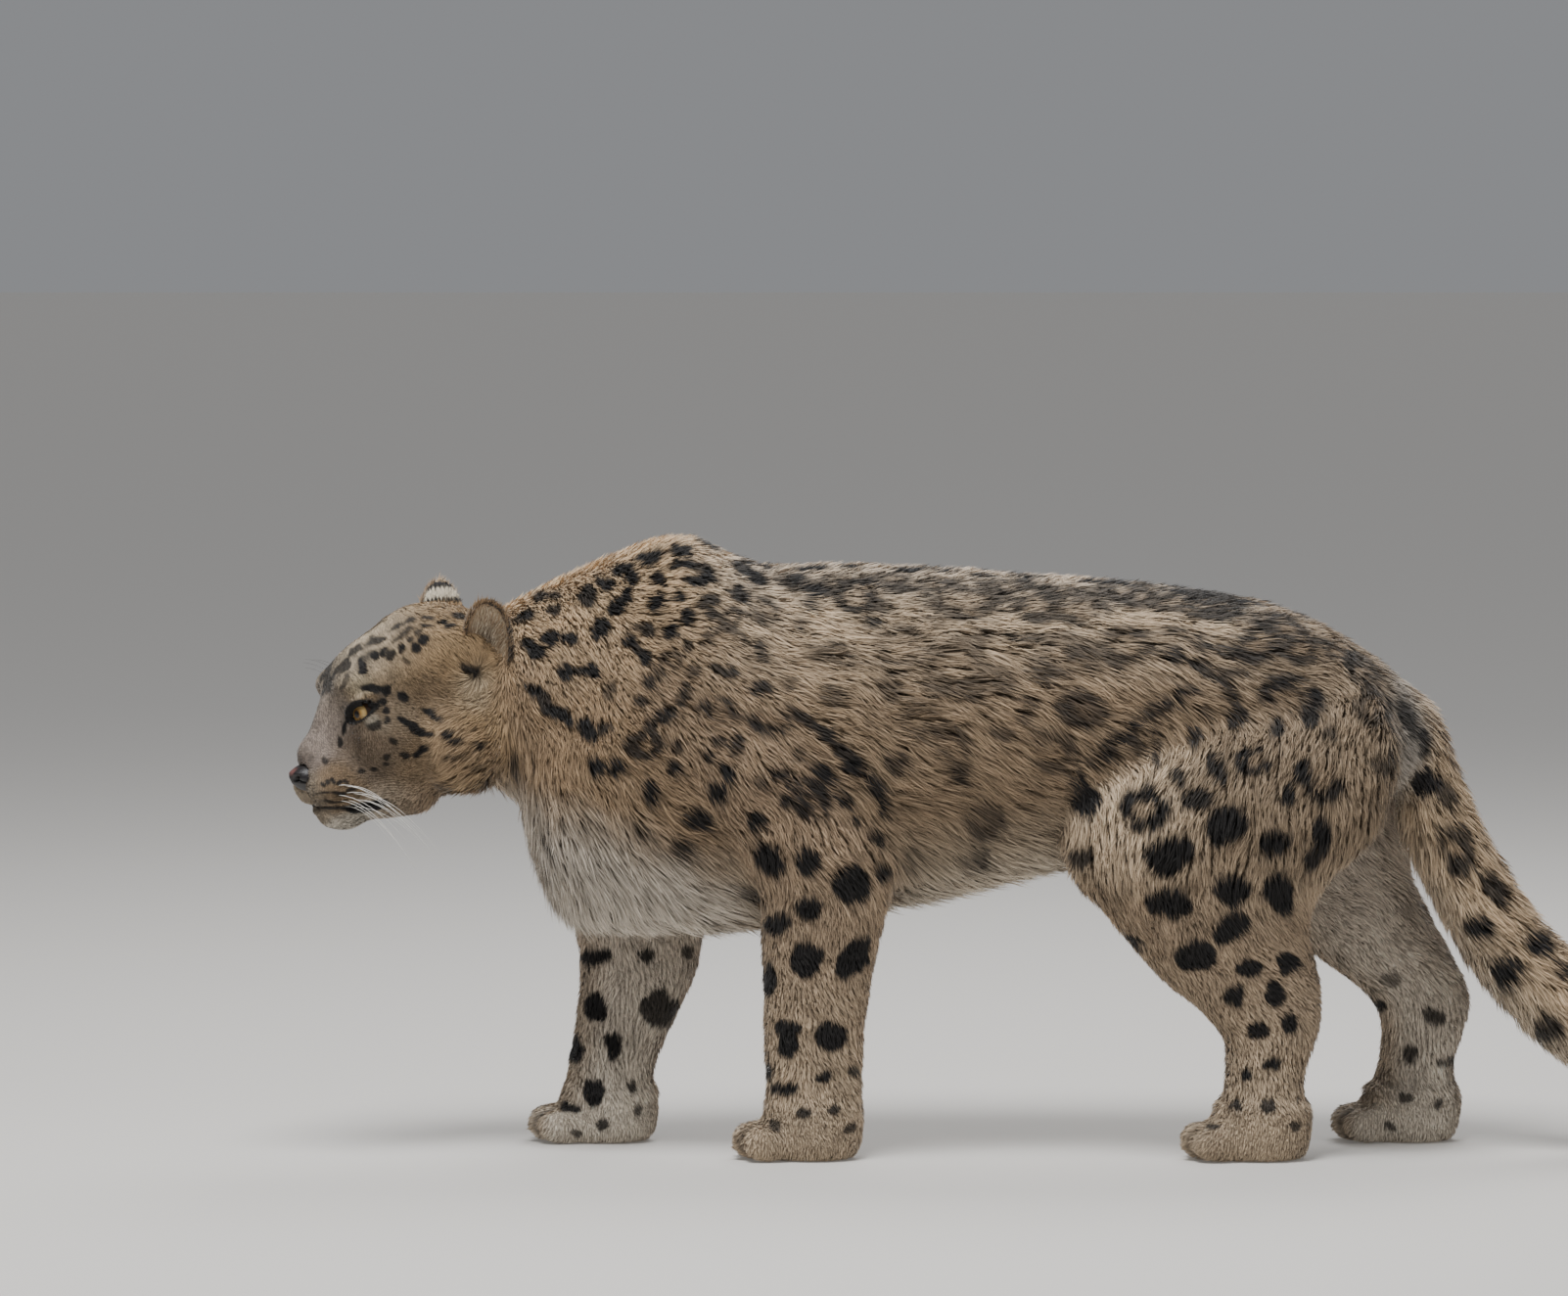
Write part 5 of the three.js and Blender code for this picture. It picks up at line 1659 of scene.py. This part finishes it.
rng = np.random.default_rng(COAT_SEED)
corners, corner_loops = triangle_arrays(fused)
host, weights = scatter(points, corners, skin_coats[corners, 3].mean(axis=1), rng)
keep = lid_free(at_roots(points, corners, host, weights))
host, weights = host[keep], weights[keep]
roots = at_roots(points, corners, host, weights)
root_normals = unit(at_roots(normals, corners, host, weights))
root_lies = unit(at_roots(skin_lies, corners, host, weights))
root_coats = at_roots(skin_coats, corners, host, weights)
root_parts = at_roots(skin_parts, corners, host, weights)
length, depth, width, _ = root_coats.T
lock_size = np.clip(0.45 * length, 2.5, 12)[:, None]
tuft_verts, to_middle = grow_tufts(roots, root_normals, root_lies, length, depth, width, lock_size, rng)

# Colours of the tufts
# Each tuft is coloured where it lies, with painted shade at its root and a painted highlight at its tip, and
# a little on its own.
TUFT_SHADE_AND_HIGHLIGHT = (0.30, 0.84, 1.26)
# painted shade: tufts towards the edge of their lock are darker, as in the gaps between locks
LOCK_EDGE_SHADE = 0.38
COAT_LIGHT = 1.08
tuft_spots = np.stack([tuft_verts[:, :2].mean(axis=1), tuft_verts[:, 2:4].mean(axis=1), tuft_verts[:, 4]], 1)
tuft_spots = tuft_spots * 0.8 + roots[:, None] * 0.2
tones = coat_colour(tuft_spots.reshape(-1, 3), np.repeat(root_parts, 3, 0), np.repeat(root_normals, 3, 0))
tones = tones.reshape(-1, 3, 3) * np.array(TUFT_SHADE_AND_HIGHLIGHT)[None, :, None]
lock_edge_shade = 1 - LOCK_EDGE_SHADE * ramp(to_middle / lock_size[:, 0], 0.3, 0.75)
own_tone = 1 + 0.15 * rng.standard_normal(len(roots))
own_tone = own_tone + 0.10 * cloud(roots, 7, 30) + 0.09 * cloud(roots, 24, 31)
tones = np.clip(tones * np.clip(own_tone * lock_edge_shade * COAT_LIGHT, 0.35, 1.6)[:, None, None], 0.004, 0.95)
tuft_tones = tones[:, [0, 0, 1, 1, 2]]

# Eyes
# Glassy balls with a golden iris painted on a bulging front under a clear coat, a round pupil and a dark rim.
# Each is turned as the lids are, and fills its socket from behind.

# How far from its middle the iris and the pupil reach, in degrees
IRIS_ANGLE = 43
# The animal looks ahead, so the iris is turned towards the nose
GAZE_TURN = math.radians(11)
PUPIL_ANGLE = 10.5
IRIS_COLOURS = [
    (0.0, (20, 14, 8)),
    (0.25, (150, 114, 62)),
    (0.6, (200, 170, 112)),
    (0.86, (184, 152, 98)),
    (1.0, (52, 36, 20)),
]
# How far the front over the iris stands out of the ball
CORNEA_RISE = 1.3


def paint(mesh, colours, name="paint"):
    layer = mesh.color_attributes.new(name, "FLOAT_COLOR", "POINT")
    rgba = np.column_stack([colours, np.ones(len(colours))])
    layer.data.foreach_set("color", rgba.ravel())


def painted_material(name, roughness, attribute="paint", bump=None):
    """A material whose colour comes from the piece's own painted attribute, with fine relief."""
    material = new_material(name)
    nodes, links = material.node_tree.nodes, material.node_tree.links
    colour = nodes.new("ShaderNodeAttribute")
    colour.attribute_name = attribute
    links.new(colour.outputs["Color"], shader(material).inputs["Base Color"])
    shader(material).inputs["Roughness"].default_value = roughness
    if bump:
        scale, height = bump
        where = nodes.new("ShaderNodeTexCoord")
        noise = nodes.new("ShaderNodeTexNoise")
        noise.inputs["Scale"].default_value = scale
        noise.inputs["Detail"].default_value = 4
        relief = nodes.new("ShaderNodeBump")
        relief.inputs["Distance"].default_value = height
        relief.inputs["Strength"].default_value = 0.6
        links.new(where.outputs["Object"], noise.inputs["Vector"])
        links.new(noise.outputs["Fac"], relief.inputs["Height"])
        links.new(relief.outputs["Normal"], shader(material).inputs["Normal"])
    return material


def ball_of(radius, u=64, v=48):
    bm = bmesh.new()
    bmesh.ops.create_uvsphere(bm, u_segments=u, v_segments=v, radius=radius)
    return bm


def eye_to_frame(local, side):
    """Points about an eye's middle (ahead, outer, up) in the frame, in millimetres."""
    turned = local @ np.array(eye_directions(side))
    return head_point(turned + EYE_AT * (1, side, 1))


eye_material = painted_material("eye", 0.08)
shader(eye_material).inputs["Coat Weight"].default_value = 0.45
shader(eye_material).inputs["Specular IOR Level"].default_value = 0.2
shader(eye_material).inputs["Coat Roughness"].default_value = 0.02
for side, word in ((-1, "left"), (1, "right")):
    bm = ball_of(1, 96, 96)
    local = np.array([v.co for v in bm.verts])[:, [2, 0, 1]]
    ahead = local @ np.array((math.cos(GAZE_TURN), -math.sin(GAZE_TURN), 0))
    angle = np.degrees(np.arccos(np.clip(ahead, -1, 1)))
    swell = CORNEA_RISE * ramp(-angle, -IRIS_ANGLE - 4, -6)
    placed = eye_to_frame(local * (EYE_RADIUS - 1.4 + swell)[:, None] - (0.6, 0, 0), side)
    for vert, point in zip(bm.verts, placed * MM):
        vert.co = point
    bmesh.ops.recalc_face_normals(bm, faces=bm.faces)
    mesh = bpy.data.meshes.new(f"eye_{word}")
    bm.to_mesh(mesh)
    bm.free()
    share = np.clip((angle - PUPIL_ANGLE) / (IRIS_ANGLE - PUPIL_ANGLE), 0, 1)
    stops = [s for s, _ in IRIS_COLOURS]
    tones = linear([c for _, c in IRIS_COLOURS])
    colour = np.stack([np.interp(share, stops, tones[:, k]) for k in range(3)], -1)
    round_angle = np.arctan2(local[:, 2], local[:, 1] + math.sin(GAZE_TURN))
    streaks = 1 + 0.16 * np.sin(round_angle * 46 + 3 * np.sin(round_angle * 7)) * ramp(share, 0.05, 0.3)
    # painted shade: the iris is darker towards its top, under the upper lid
    colour *= streaks[:, None] * (1 - 0.35 * ramp(local[:, 2], 0.02, 0.3))[:, None]
    colour[angle < PUPIL_ANGLE] = linear((6, 5, 5))
    white = ramp(angle, IRIS_ANGLE - 1, IRIS_ANGLE + 2)[:, None]
    colour = colour * (1 - white) + linear((64, 48, 38)) * white
    paint(mesh, colour)
    mesh.shade_smooth()
    eye = add_object(f"eye_{word}", mesh, eye_material)
    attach(eye, "root")
    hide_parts(f"eye_{word}")

# Rims of the lids
# Bare black skin round each opening, drawn out to a tear line at the inner corner. Each rim is one closed
# cord that lies on the ball.
RIM_COLOUR = (22, 17, 16)
RIM_STEPS = 72


def rim_path():
    """The edge of the lids' opening on the ball, with the thickness of the rim there."""
    half, high, low = LIDS
    rows = []
    for k in range(RIM_STEPS):
        turn = 2 * math.pi * k / RIM_STEPS
        across, rise = math.cos(turn), math.sin(turn)
        outer = half * np.sign(across) * abs(across) ** 0.9
        u = abs(outer) / half
        up = np.sign(rise) * (high if rise > 0 else low) * math.sqrt(max(0, 1 - u**1.7))
        corner = ramp(-outer, 9, 15)
        outer = outer - 3.5 * corner
        up = up - 2.2 * corner
        flat = min(math.hypot(outer, up), EYE_RADIUS - 0.5)
        ahead = math.sqrt(EYE_RADIUS**2 - flat**2)
        thick = 1.0 + 0.5 * ramp(rise, 0, 0.6) + 0.4 * corner
        rows.append((ahead, outer, up, thick))
    return rows


def lay_cord(bm, rows, segments, closed, place):
    """Adds a cord to a bmesh, along rows of place and thickness that a function puts in the frame."""
    path = np.array(rows)[:, :3]
    count = len(path)
    ahead = np.roll(path, -1, 0) - np.roll(path, 1, 0) if closed else np.gradient(path, axis=0)
    ahead = unit(ahead)
    out = unit(path - (ahead * np.sum(path * ahead, axis=1, keepdims=True)))
    over = np.cross(ahead, out)
    loops = []
    for k in range(count):
        ring = bmesh.ops.create_circle(bm, cap_ends=False, radius=1, segments=segments)["verts"]
        turns = turns_of(segments)
        section = path[k] + rows[k][3] * (np.outer(np.cos(turns), out[k]) + np.outer(np.sin(turns), over[k]))
        for vert, point in zip(ring, place(section) * MM):
            vert.co = point
        loops.append(list({edge for vert in ring for edge in vert.link_edges}))
    pairs = list(zip(loops, loops[1:])) + ([(loops[-1], loops[0])] if closed else [])
    for before, after in pairs:
        bmesh.ops.bridge_loops(bm, edges=before + after)
    if not closed:
        for end in (loops[0], loops[-1]):
            bmesh.ops.edgeloop_fill(bm, edges=end)


def cords(name, routes, segments, closed, place, material):
    """One piece of one or more cords."""
    bm = bmesh.new()
    for rows in routes:
        lay_cord(bm, rows, segments, closed, place)
    bmesh.ops.recalc_face_normals(bm, faces=bm.faces)
    mesh = bpy.data.meshes.new(name)
    bm.to_mesh(mesh)
    bm.free()
    mesh.shade_smooth()
    return add_object(name, mesh, material)


rim_material = new_material("eye_rim")
shader(rim_material).inputs["Base Color"].default_value = (*linear(RIM_COLOUR), 1)
shader(rim_material).inputs["Roughness"].default_value = 0.38
for side, word in ((-1, "left"), (1, "right")):
    rim = cords(
        f"eye_rim_{word}",
        [rim_path()],
        8,
        True,
        lambda points, side=side: eye_to_frame(points, side),
        rim_material,
    )
    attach(rim, "root")

# Nose
# The bare pad of the nose: broad above, drawn in below towards the lip, with comma-shaped nostrils that
# open to the sides. Its skin is black and finely cobbled, and pinkish at its upper edge.

bm = bmesh.new()
bmesh.ops.create_icosphere(bm, subdivisions=6, radius=1)
local = np.array([v.co for v in bm.verts])
ahead, aside, up = local.T
low = np.clip(-up, 0, 1)
shape = local * NOSE_SIZE
shape[:, 1] *= 1 - 0.66 * low
shape[:, 0] *= 1 - 0.18 * low
shape[:, 0] *= 1 - 0.10 * np.clip(up, 0, 1)
side_of = np.abs(shape[:, 1])
hole = np.exp(-(((side_of - 8.2) / 3.6) ** 2) - ((shape[:, 2] + 0.5 - 0.35 * (side_of - 8.2)) / 2.3) ** 2)
slit = np.exp(-(((side_of - 12.0) / 3.2) ** 2) - ((shape[:, 2] + 4.2 + 0.5 * (side_of - 12)) / 1.5) ** 2)
pit = np.clip(hole + 0.8 * slit, 0, 1) * ramp(ahead, 0.1, 0.4)
shape[:, 0] -= 8.0 * pit
cleft = np.exp(-((shape[:, 1] / 1.0) ** 2)) * ramp(ahead, 0.3, 0.6) * ramp(-shape[:, 2], -4, 2)
shape[:, 0] -= 1.5 * cleft
wing = np.exp(-(((side_of - 8.5) / 4.5) ** 2) - ((shape[:, 2] - 4.5) / 3) ** 2) * ramp(ahead, 0.2, 0.6)
shape[:, 0] += 1.2 * wing
placed = head_point(shape + NOSE_AT + (-0.6, 0, 0.5))
for vert, point in zip(bm.verts, placed * MM):
    vert.co = point
bmesh.ops.recalc_face_normals(bm, faces=bm.faces)
nose_mesh = bpy.data.meshes.new("nose")
bm.to_mesh(nose_mesh)
bm.free()
nose_mesh.shade_smooth()
pink = 0.6 * ramp(shape[:, 2], 0, 7) * ramp(ahead, 0.55, 0.95) * ramp(8 - side_of, 0, 4) * (1 - pit)
nose_colour = linear((26, 22, 23)) * (1 - pink[:, None]) + linear((150, 96, 88)) * pink[:, None]
# painted shade: the nostrils' hollows are darker still
nose_colour = nose_colour * (1 - 0.8 * pit)[:, None]
paint(nose_mesh, nose_colour)
nose = add_object("nose", nose_mesh, painted_material("nose", 0.42, bump=(900, 0.0006)))
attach(nose, "root")
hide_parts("nose")

# Ears
# Short round ears: a thin cup of skin each, furred pale inside, with a black back and rim and a pale band.
# The right one is turned further back.

EAR_AT = {"left": np.array((27.0, 64, 47)), "right": np.array((29.0, 62, 57))}
EAR_SIZE = np.array((24.0, 15, 47))
EAR_WALL = 3.6
EAR_INSIDE = (160, 134, 104)
# painted shade where the way into the ear lies
EAR_CANAL = (58, 46, 38)
EAR_BLACK = (26, 23, 22)
EAR_BAND = (206, 196, 176)
EAR_GROUND = (166, 140, 106)
EAR_LEAN = math.radians(15)
EAR_OUTWARD = {"left": math.radians(64), "right": math.radians(82)}


def ear_to_frame(local, side):
    """Points of an ear (along its width, out of its opening, up) in the frame, in millimetres."""
    word = "left" if side < 0 else "right"
    x, y, z = np.moveaxis(local * (1, side, 1), -1, 0)
    c, s = math.cos(-side * EAR_LEAN), math.sin(-side * EAR_LEAN)
    y, z = c * y - s * z, s * y + c * z
    turn = side * (math.pi / 2 - EAR_OUTWARD[word])
    c, s = math.cos(turn), math.sin(turn)
    x, y = c * x - s * y, s * x + c * y
    forward, aside, up = EAR_AT[word]
    return head_point(np.stack([forward - x, y + side * aside, z + up], -1))


def ear_axes(vectors, side):
    """Directions of an ear as directions of the frame."""
    return unit(ear_to_frame(vectors, side) - ear_to_frame(np.zeros(3), side))


ear_arrays = {}
for side, word in ((-1, "left"), (1, "right")):
    bm = bmesh.new()
    bmesh.ops.create_icosphere(bm, subdivisions=6, radius=1)
    local = np.array([v.co for v in bm.verts])
    x, y, z = local.T
    inner = ramp(y, -0.02, 0.06)
    round_out = np.sqrt(np.clip(x * x + z * z, 0, 1))
    point = 1 + 0.06 * ramp(z, 0.1, 0.8) - 0.28 * ramp(-z, 0.1, 1.0)
    back = -np.sqrt(np.clip(1 - round_out**2, 0, 1)) * EAR_SIZE[1]
    front = back + EAR_WALL * (1 + 0.5 * (1 - round_out)) + 1.0
    shape = np.column_stack([x * EAR_SIZE[0] * point, np.where(y < 0, back, 0), z * EAR_SIZE[2]])
    shape[:, 1] = np.where(y >= 0, front * inner + (1 - inner) * 0, shape[:, 1])
    placed = ear_to_frame(shape, side)
    for vert, p in zip(bm.verts, placed * MM):
        vert.co = p
    if bm.calc_volume(signed=True) < 0:
        bmesh.ops.reverse_faces(bm, faces=bm.faces)
    mesh = bpy.data.meshes.new(f"ear_{word}")
    bm.to_mesh(mesh)
    bm.free()
    mesh.shade_smooth()
    inside_ear = y >= 0
    height = shape[:, 2] / EAR_SIZE[2]
    # painted shade: a dark patch on the cup for the way into the ear, which has no opening
    canal_shade = np.exp(-(((x + 0.35) / 0.5) ** 2) - ((z + 0.2) / 0.45) ** 2)[:, None]
    cup = linear(EAR_INSIDE) + (linear(EAR_CANAL) - linear(EAR_INSIDE)) * canal_shade
    # on the back a black top, a pale band, a black line under it and the ground colour below
    at = [0.44, 0.48, 0.54, 0.58, 0.62, 0.76, 0.82]
    tone = linear([EAR_GROUND, EAR_BLACK, EAR_BLACK, EAR_BAND, EAR_BAND, EAR_BAND, EAR_BLACK])
    back_colour = np.stack([np.interp(height, at, tone[:, k]) for k in range(3)], -1)
    rear_rim = ramp(round_out, 0.93, 0.98) * ramp(x, -0.5, 0.1) * ramp(height, -0.7, -0.3)
    rear_rim = rear_rim[:, None] * 0.85
    colour = np.where(inside_ear[:, None], cup, back_colour)
    colour = colour * (1 - rear_rim) + linear(EAR_BLACK) * rear_rim
    paint(mesh, colour)
    ear = add_object(f"ear_{word}", mesh, painted_material(f"ear_{word}", 0.75, bump=(500, 0.001)))
    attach(ear, "root")
    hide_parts(f"ear_{word}")
    ear_arrays[side] = (mesh, local, shape, placed, colour)

# Fur of the ears
# Short and close on their backs, and longer pale hairs that rise in the cup, over the painted shade of the
# way into the ear. Each hair is a tuft like the coat's.
EAR_HAIR = linear((214, 200, 176))
ear_tufts = {}
for side, word in ((-1, "left"), (1, "right")):
    mesh, local, shape, placed, colour = ear_arrays[side]
    ear_corners, _ = triangle_arrays(mesh)
    ear_normals = vertex_normals(mesh)
    inside_ear = local[:, 1] >= 0
    edge_share = np.sqrt(local[:, 0] ** 2 + local[:, 2] ** 2)
    hairy = np.where(inside_ear, 60 + 60 * ramp(edge_share, 0.5, 0.85), 105)
    ear_host, ear_weights = scatter(placed, ear_corners, hairy[ear_corners].mean(axis=1), rng)
    ear_roots = at_roots(placed, ear_corners, ear_host, ear_weights)
    ups = unit(at_roots(ear_normals, ear_corners, ear_host, ear_weights))
    inner = at_roots(inside_ear[:, None] * 1.0, ear_corners, ear_host, ear_weights)[:, 0]
    rim_share = at_roots(edge_share[:, None], ear_corners, ear_host, ear_weights)[:, 0]
    where = at_roots(local, ear_corners, ear_host, ear_weights)
    # on the back the hairs run up to the rim; inside they rise and lean back a little
    run_up = ear_axes(np.column_stack([0.2 * where[:, 0], 0 * inner, np.ones(len(inner))]), side)
    fan = ear_axes(np.column_stack([0.4 + 0.4 * where[:, 0], 0 * inner, 1.0 - 0.2 * where[:, 2]]), side)
    lies = np.where(inner[:, None] > 0.5, fan, run_up)
    lies = unit(lies - ups * np.sum(lies * ups, axis=1, keepdims=True))
    at_rim = ramp(rim_share, 0.88, 0.97)
    hair_length = np.where(inner > 0.5, 13 + 9 * rng.random(len(inner)), 5.0) * (1 - 0.6 * at_rim)
    hair_lift = np.where(inner > 0.5, 4.0, 1.8) * (1 - 0.4 * at_rim)
    verts, _ = grow_tufts(ear_roots, ups, lies, hair_length, hair_lift, np.full(len(inner), 0.85), 4.0, rng)
    base = at_roots(colour, ear_corners, ear_host, ear_weights)
    long_hair = ((inner > 0.5) * ramp(0.9 - rim_share, 0, 0.15))[:, None]
    base = base + (EAR_HAIR - base) * long_hair * rng.uniform(0, 1, (len(inner), 1)) ** 1.5
    base = base * np.clip(1 + 0.16 * rng.standard_normal((len(inner), 1)), 0.5, 1.5)
    # painted shade at the root of each ear hair and a painted highlight at its tip
    ear_tones = np.stack([base * share for share in (0.55, 0.55, 0.95, 0.95, 1.15)], 1)
    # places on the ear's own shape laid flat, its cup beside its back
    spots = np.column_stack([0.25 + 0.5 * (inner < 0.5) + 0.23 * where[:, 0], 0.5 + 0.46 * where[:, 2]])
    ear_tufts[word] = (verts, ups, ear_tones, spots)

# Whiskers and brow hairs
# Stiff single hairs: rows of long white whiskers on each side of the muzzle, which bend back and down, and
# a few darker ones over each eye.

WHISKER_ROWS = [(-95, 172, 3, 70), (-102, 168, 4, 88), (-109, 165, 4, 92), (-116, 164, 2, 66)]
WHISKER_STEPS = 9
WHISKER_THICK = 0.4
BROW_HAIRS = [(158, 34, 12, 34), (152, 38, 14, 38), (146, 42, 15, 34), (163, 29, 10, 26)]


def whisker_route(start, aim, sag, length, thick):
    """A hair from its root: straight at first, then bending over by its own sag."""
    rows = []
    for k in range(WHISKER_STEPS):
        share = k / (WHISKER_STEPS - 1)
        at = start + aim * length * share + sag * length * share**2
        rows.append((*at, thick * (1 - 0.85 * share)))
    return rows


def whisker_routes(side):
    routes = []
    for height, forward, count, length in WHISKER_ROWS:
        for k in range(count):
            ahead = forward + 7.5 * (count / 2 - k)
            root_up = float(height) + rng.uniform(-1.5, 1.5)
            start = np.array((ahead, side * face_width(ahead, height), root_up))
            lean = rng.uniform(-0.15, 0.15)
            aim = unit(np.array((-0.6 - 0.1 * k + lean, side * 0.8, 0.12 + rng.uniform(-0.2, 0.15))))
            sag = np.array((-0.20, -0.32 * side, -0.66)) * rng.uniform(0.7, 1.35)
            routes.append(whisker_route(start, aim, sag, length * rng.uniform(0.75, 1.1), WHISKER_THICK))
    return routes


def face_width(ahead, height):
    """How far to the side the face's surface is at a forward place and a height."""
    sides = np.linspace(5, 70, 140)
    places = np.column_stack([np.full(140, float(ahead)), sides, np.full(140, float(height))])
    inside = face_field(places) < 0
    return sides[inside].max() - 1.5 if inside.any() else 10.0


whisker_material = new_material("whisker")
shader(whisker_material).inputs["Base Color"].default_value = (0.85, 0.82, 0.76, 1)
shader(whisker_material).inputs["Roughness"].default_value = 0.35
brow_material = new_material("brow_hair")
shader(brow_material).inputs["Base Color"].default_value = (0.03, 0.026, 0.024, 1)
shader(brow_material).inputs["Roughness"].default_value = 0.4
for side, word in ((-1, "left"), (1, "right")):
    whiskers = cords(f"whiskers_{word}", whisker_routes(side), 4, False, head_point, whisker_material)
    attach(whiskers, "root")
    brows = []
    for forward, aside, height, length in BROW_HAIRS:
        aim = unit(np.array((0.55, 0.42 * side, 0.62)))
        sag = np.array((0.16, 0.1 * side, -0.30))
        start = np.array((forward, side * (face_width(forward, height) - 1), float(height)))
        brows.append(whisker_route(start, aim, sag, length, 0.32))
    brow = cords(f"brow_hairs_{word}", brows, 4, False, head_point, brow_material)
    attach(brow, "root")

# Pieces of the coat
# The tufts of each part of the body are joined into one or more pieces. Their shading leans towards the
# skin under them, as soft fur's does.

# How far a tuft is shaded by its own turn, and how far by the skin under it
OWN_SHADING = 0.55
SKIN_SHADING = 0.6

coat_material = painted_material("coat", 0.62)
shader(coat_material).inputs["Specular IOR Level"].default_value = 0.25
shader(coat_material).inputs["Sheen Weight"].default_value = 0.25
shader(coat_material).inputs["Sheen Roughness"].default_value = 0.5


def tuft_piece(name, chosen, verts, faces, tones, normals_up, spots):
    """A mesh of many like tufts: their corners, faces, colours, leaning normals and bake places."""
    count, each = len(chosen), verts.shape[1]
    co = (verts[chosen] * MM).reshape(-1, 3)
    index = (faces[None] + (np.arange(count) * each)[:, None, None]).reshape(-1, 3)
    mesh = bpy.data.meshes.new(name)
    mesh.vertices.add(len(co))
    mesh.vertices.foreach_set("co", co.ravel())
    mesh.loops.add(index.size)
    mesh.loops.foreach_set("vertex_index", index.ravel())
    mesh.polygons.add(len(index))
    mesh.polygons.foreach_set("loop_start", np.arange(0, index.size, 3))
    mesh.update(calc_edges=True)
    paint(mesh, tones[chosen].reshape(-1, 3))
    mesh.shade_smooth()
    own_normals = vertex_normals(mesh)
    lean = np.repeat(normals_up[chosen], each, 0)
    own_normals *= np.where(np.sum(own_normals * lean, axis=1, keepdims=True) < 0, -1, 1)
    leaning = unit(own_normals * OWN_SHADING + lean * SKIN_SHADING)
    mesh.normals_split_custom_set_from_vertices(leaning.astype(np.float32))
    layer = mesh.uv_layers.new(name="OFBake")
    corner_uv = spots[chosen][(index // each).ravel()] + TUFT_PATCH[(index % each).ravel()]
    layer.data.foreach_set("uv", np.clip(corner_uv, 0, 1).ravel())
    piece = add_object(name, mesh, coat_material)
    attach(piece, "root")
    return piece


PATCH_SIZE = 0.003
TUFT_PATCH = PATCH_SIZE * np.array([(0, 0), (1, 0), (0, 0.5), (1, 0.5), (0.5, 1)])
HIDE_SHADE = 0.7
PIECE_TRIANGLES = 195000
bake = fused.uv_layers.new(name="OFBake")
fused.uv_layers.active = bake
bpy.context.view_layer.objects.active = skin
skin.select_set(True)
bpy.ops.object.mode_set(mode="EDIT")
bpy.ops.mesh.select_all(action="SELECT")
bpy.ops.uv.smart_project(angle_limit=math.radians(66), island_margin=0.002, area_weight=0)
bpy.ops.object.mode_set(mode="OBJECT")
uvs = np.empty(len(fused.loops) * 2)
fused.uv_layers["OFBake"].data.foreach_get("uv", uvs)
uvs = uvs.reshape(-1, 2)
root_spots = at_roots(uvs, corner_loops, host, weights) - PATCH_SIZE / 2

# the hide takes the coat's colours darkened, as painted shade under the tufts
paint(fused, coat_colour(points, skin_parts, normals) * HIDE_SHADE)
skin.data.materials.clear()
skin.data.materials.append(painted_material("hide", 0.9, bump=(400, 0.002)))

main_part = np.argmax(root_parts, axis=1)
GROUPS = {
    "coat_head": main_part == 6,
    "coat_foreleg_left": main_part == 1,
    "coat_foreleg_right": main_part == 2,
    "coat_hindleg_left": main_part == 3,
    "coat_hindleg_right": main_part == 4,
    "coat_tail": main_part == 5,
    "coat_neck": (main_part == 0) & (roots[:, 0] < -420),
    "coat_body_left": (main_part == 0) & (roots[:, 0] >= -420) & (roots[:, 1] < 0),
    "coat_body_right": (main_part == 0) & (roots[:, 0] >= -420) & (roots[:, 1] >= 0),
}
for name, members in GROUPS.items():
    chosen = np.flatnonzero(members)
    split = max(1, math.ceil(len(chosen) * len(TUFT_FACES) / PIECE_TRIANGLES))
    chosen = chosen[np.argsort(roots[chosen, 0], kind="stable")]
    for k, some in enumerate(np.array_split(chosen, split)):
        tuft_piece(f"{name}_{k + 1}", some, tuft_verts, TUFT_FACES, tuft_tones, root_normals, root_spots)

for word, (verts, ups, ear_tones, spots) in ear_tufts.items():
    everyone = np.arange(len(verts))
    tuft_piece(f"coat_ear_{word}", everyone, verts, TUFT_FACES, ear_tones, ups, spots)

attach(skin, "root")
FLESH = [n for n in frame["nodes"] if not n.startswith(("eye_", "nose", "ear_"))]
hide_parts(*FLESH)
low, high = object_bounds()
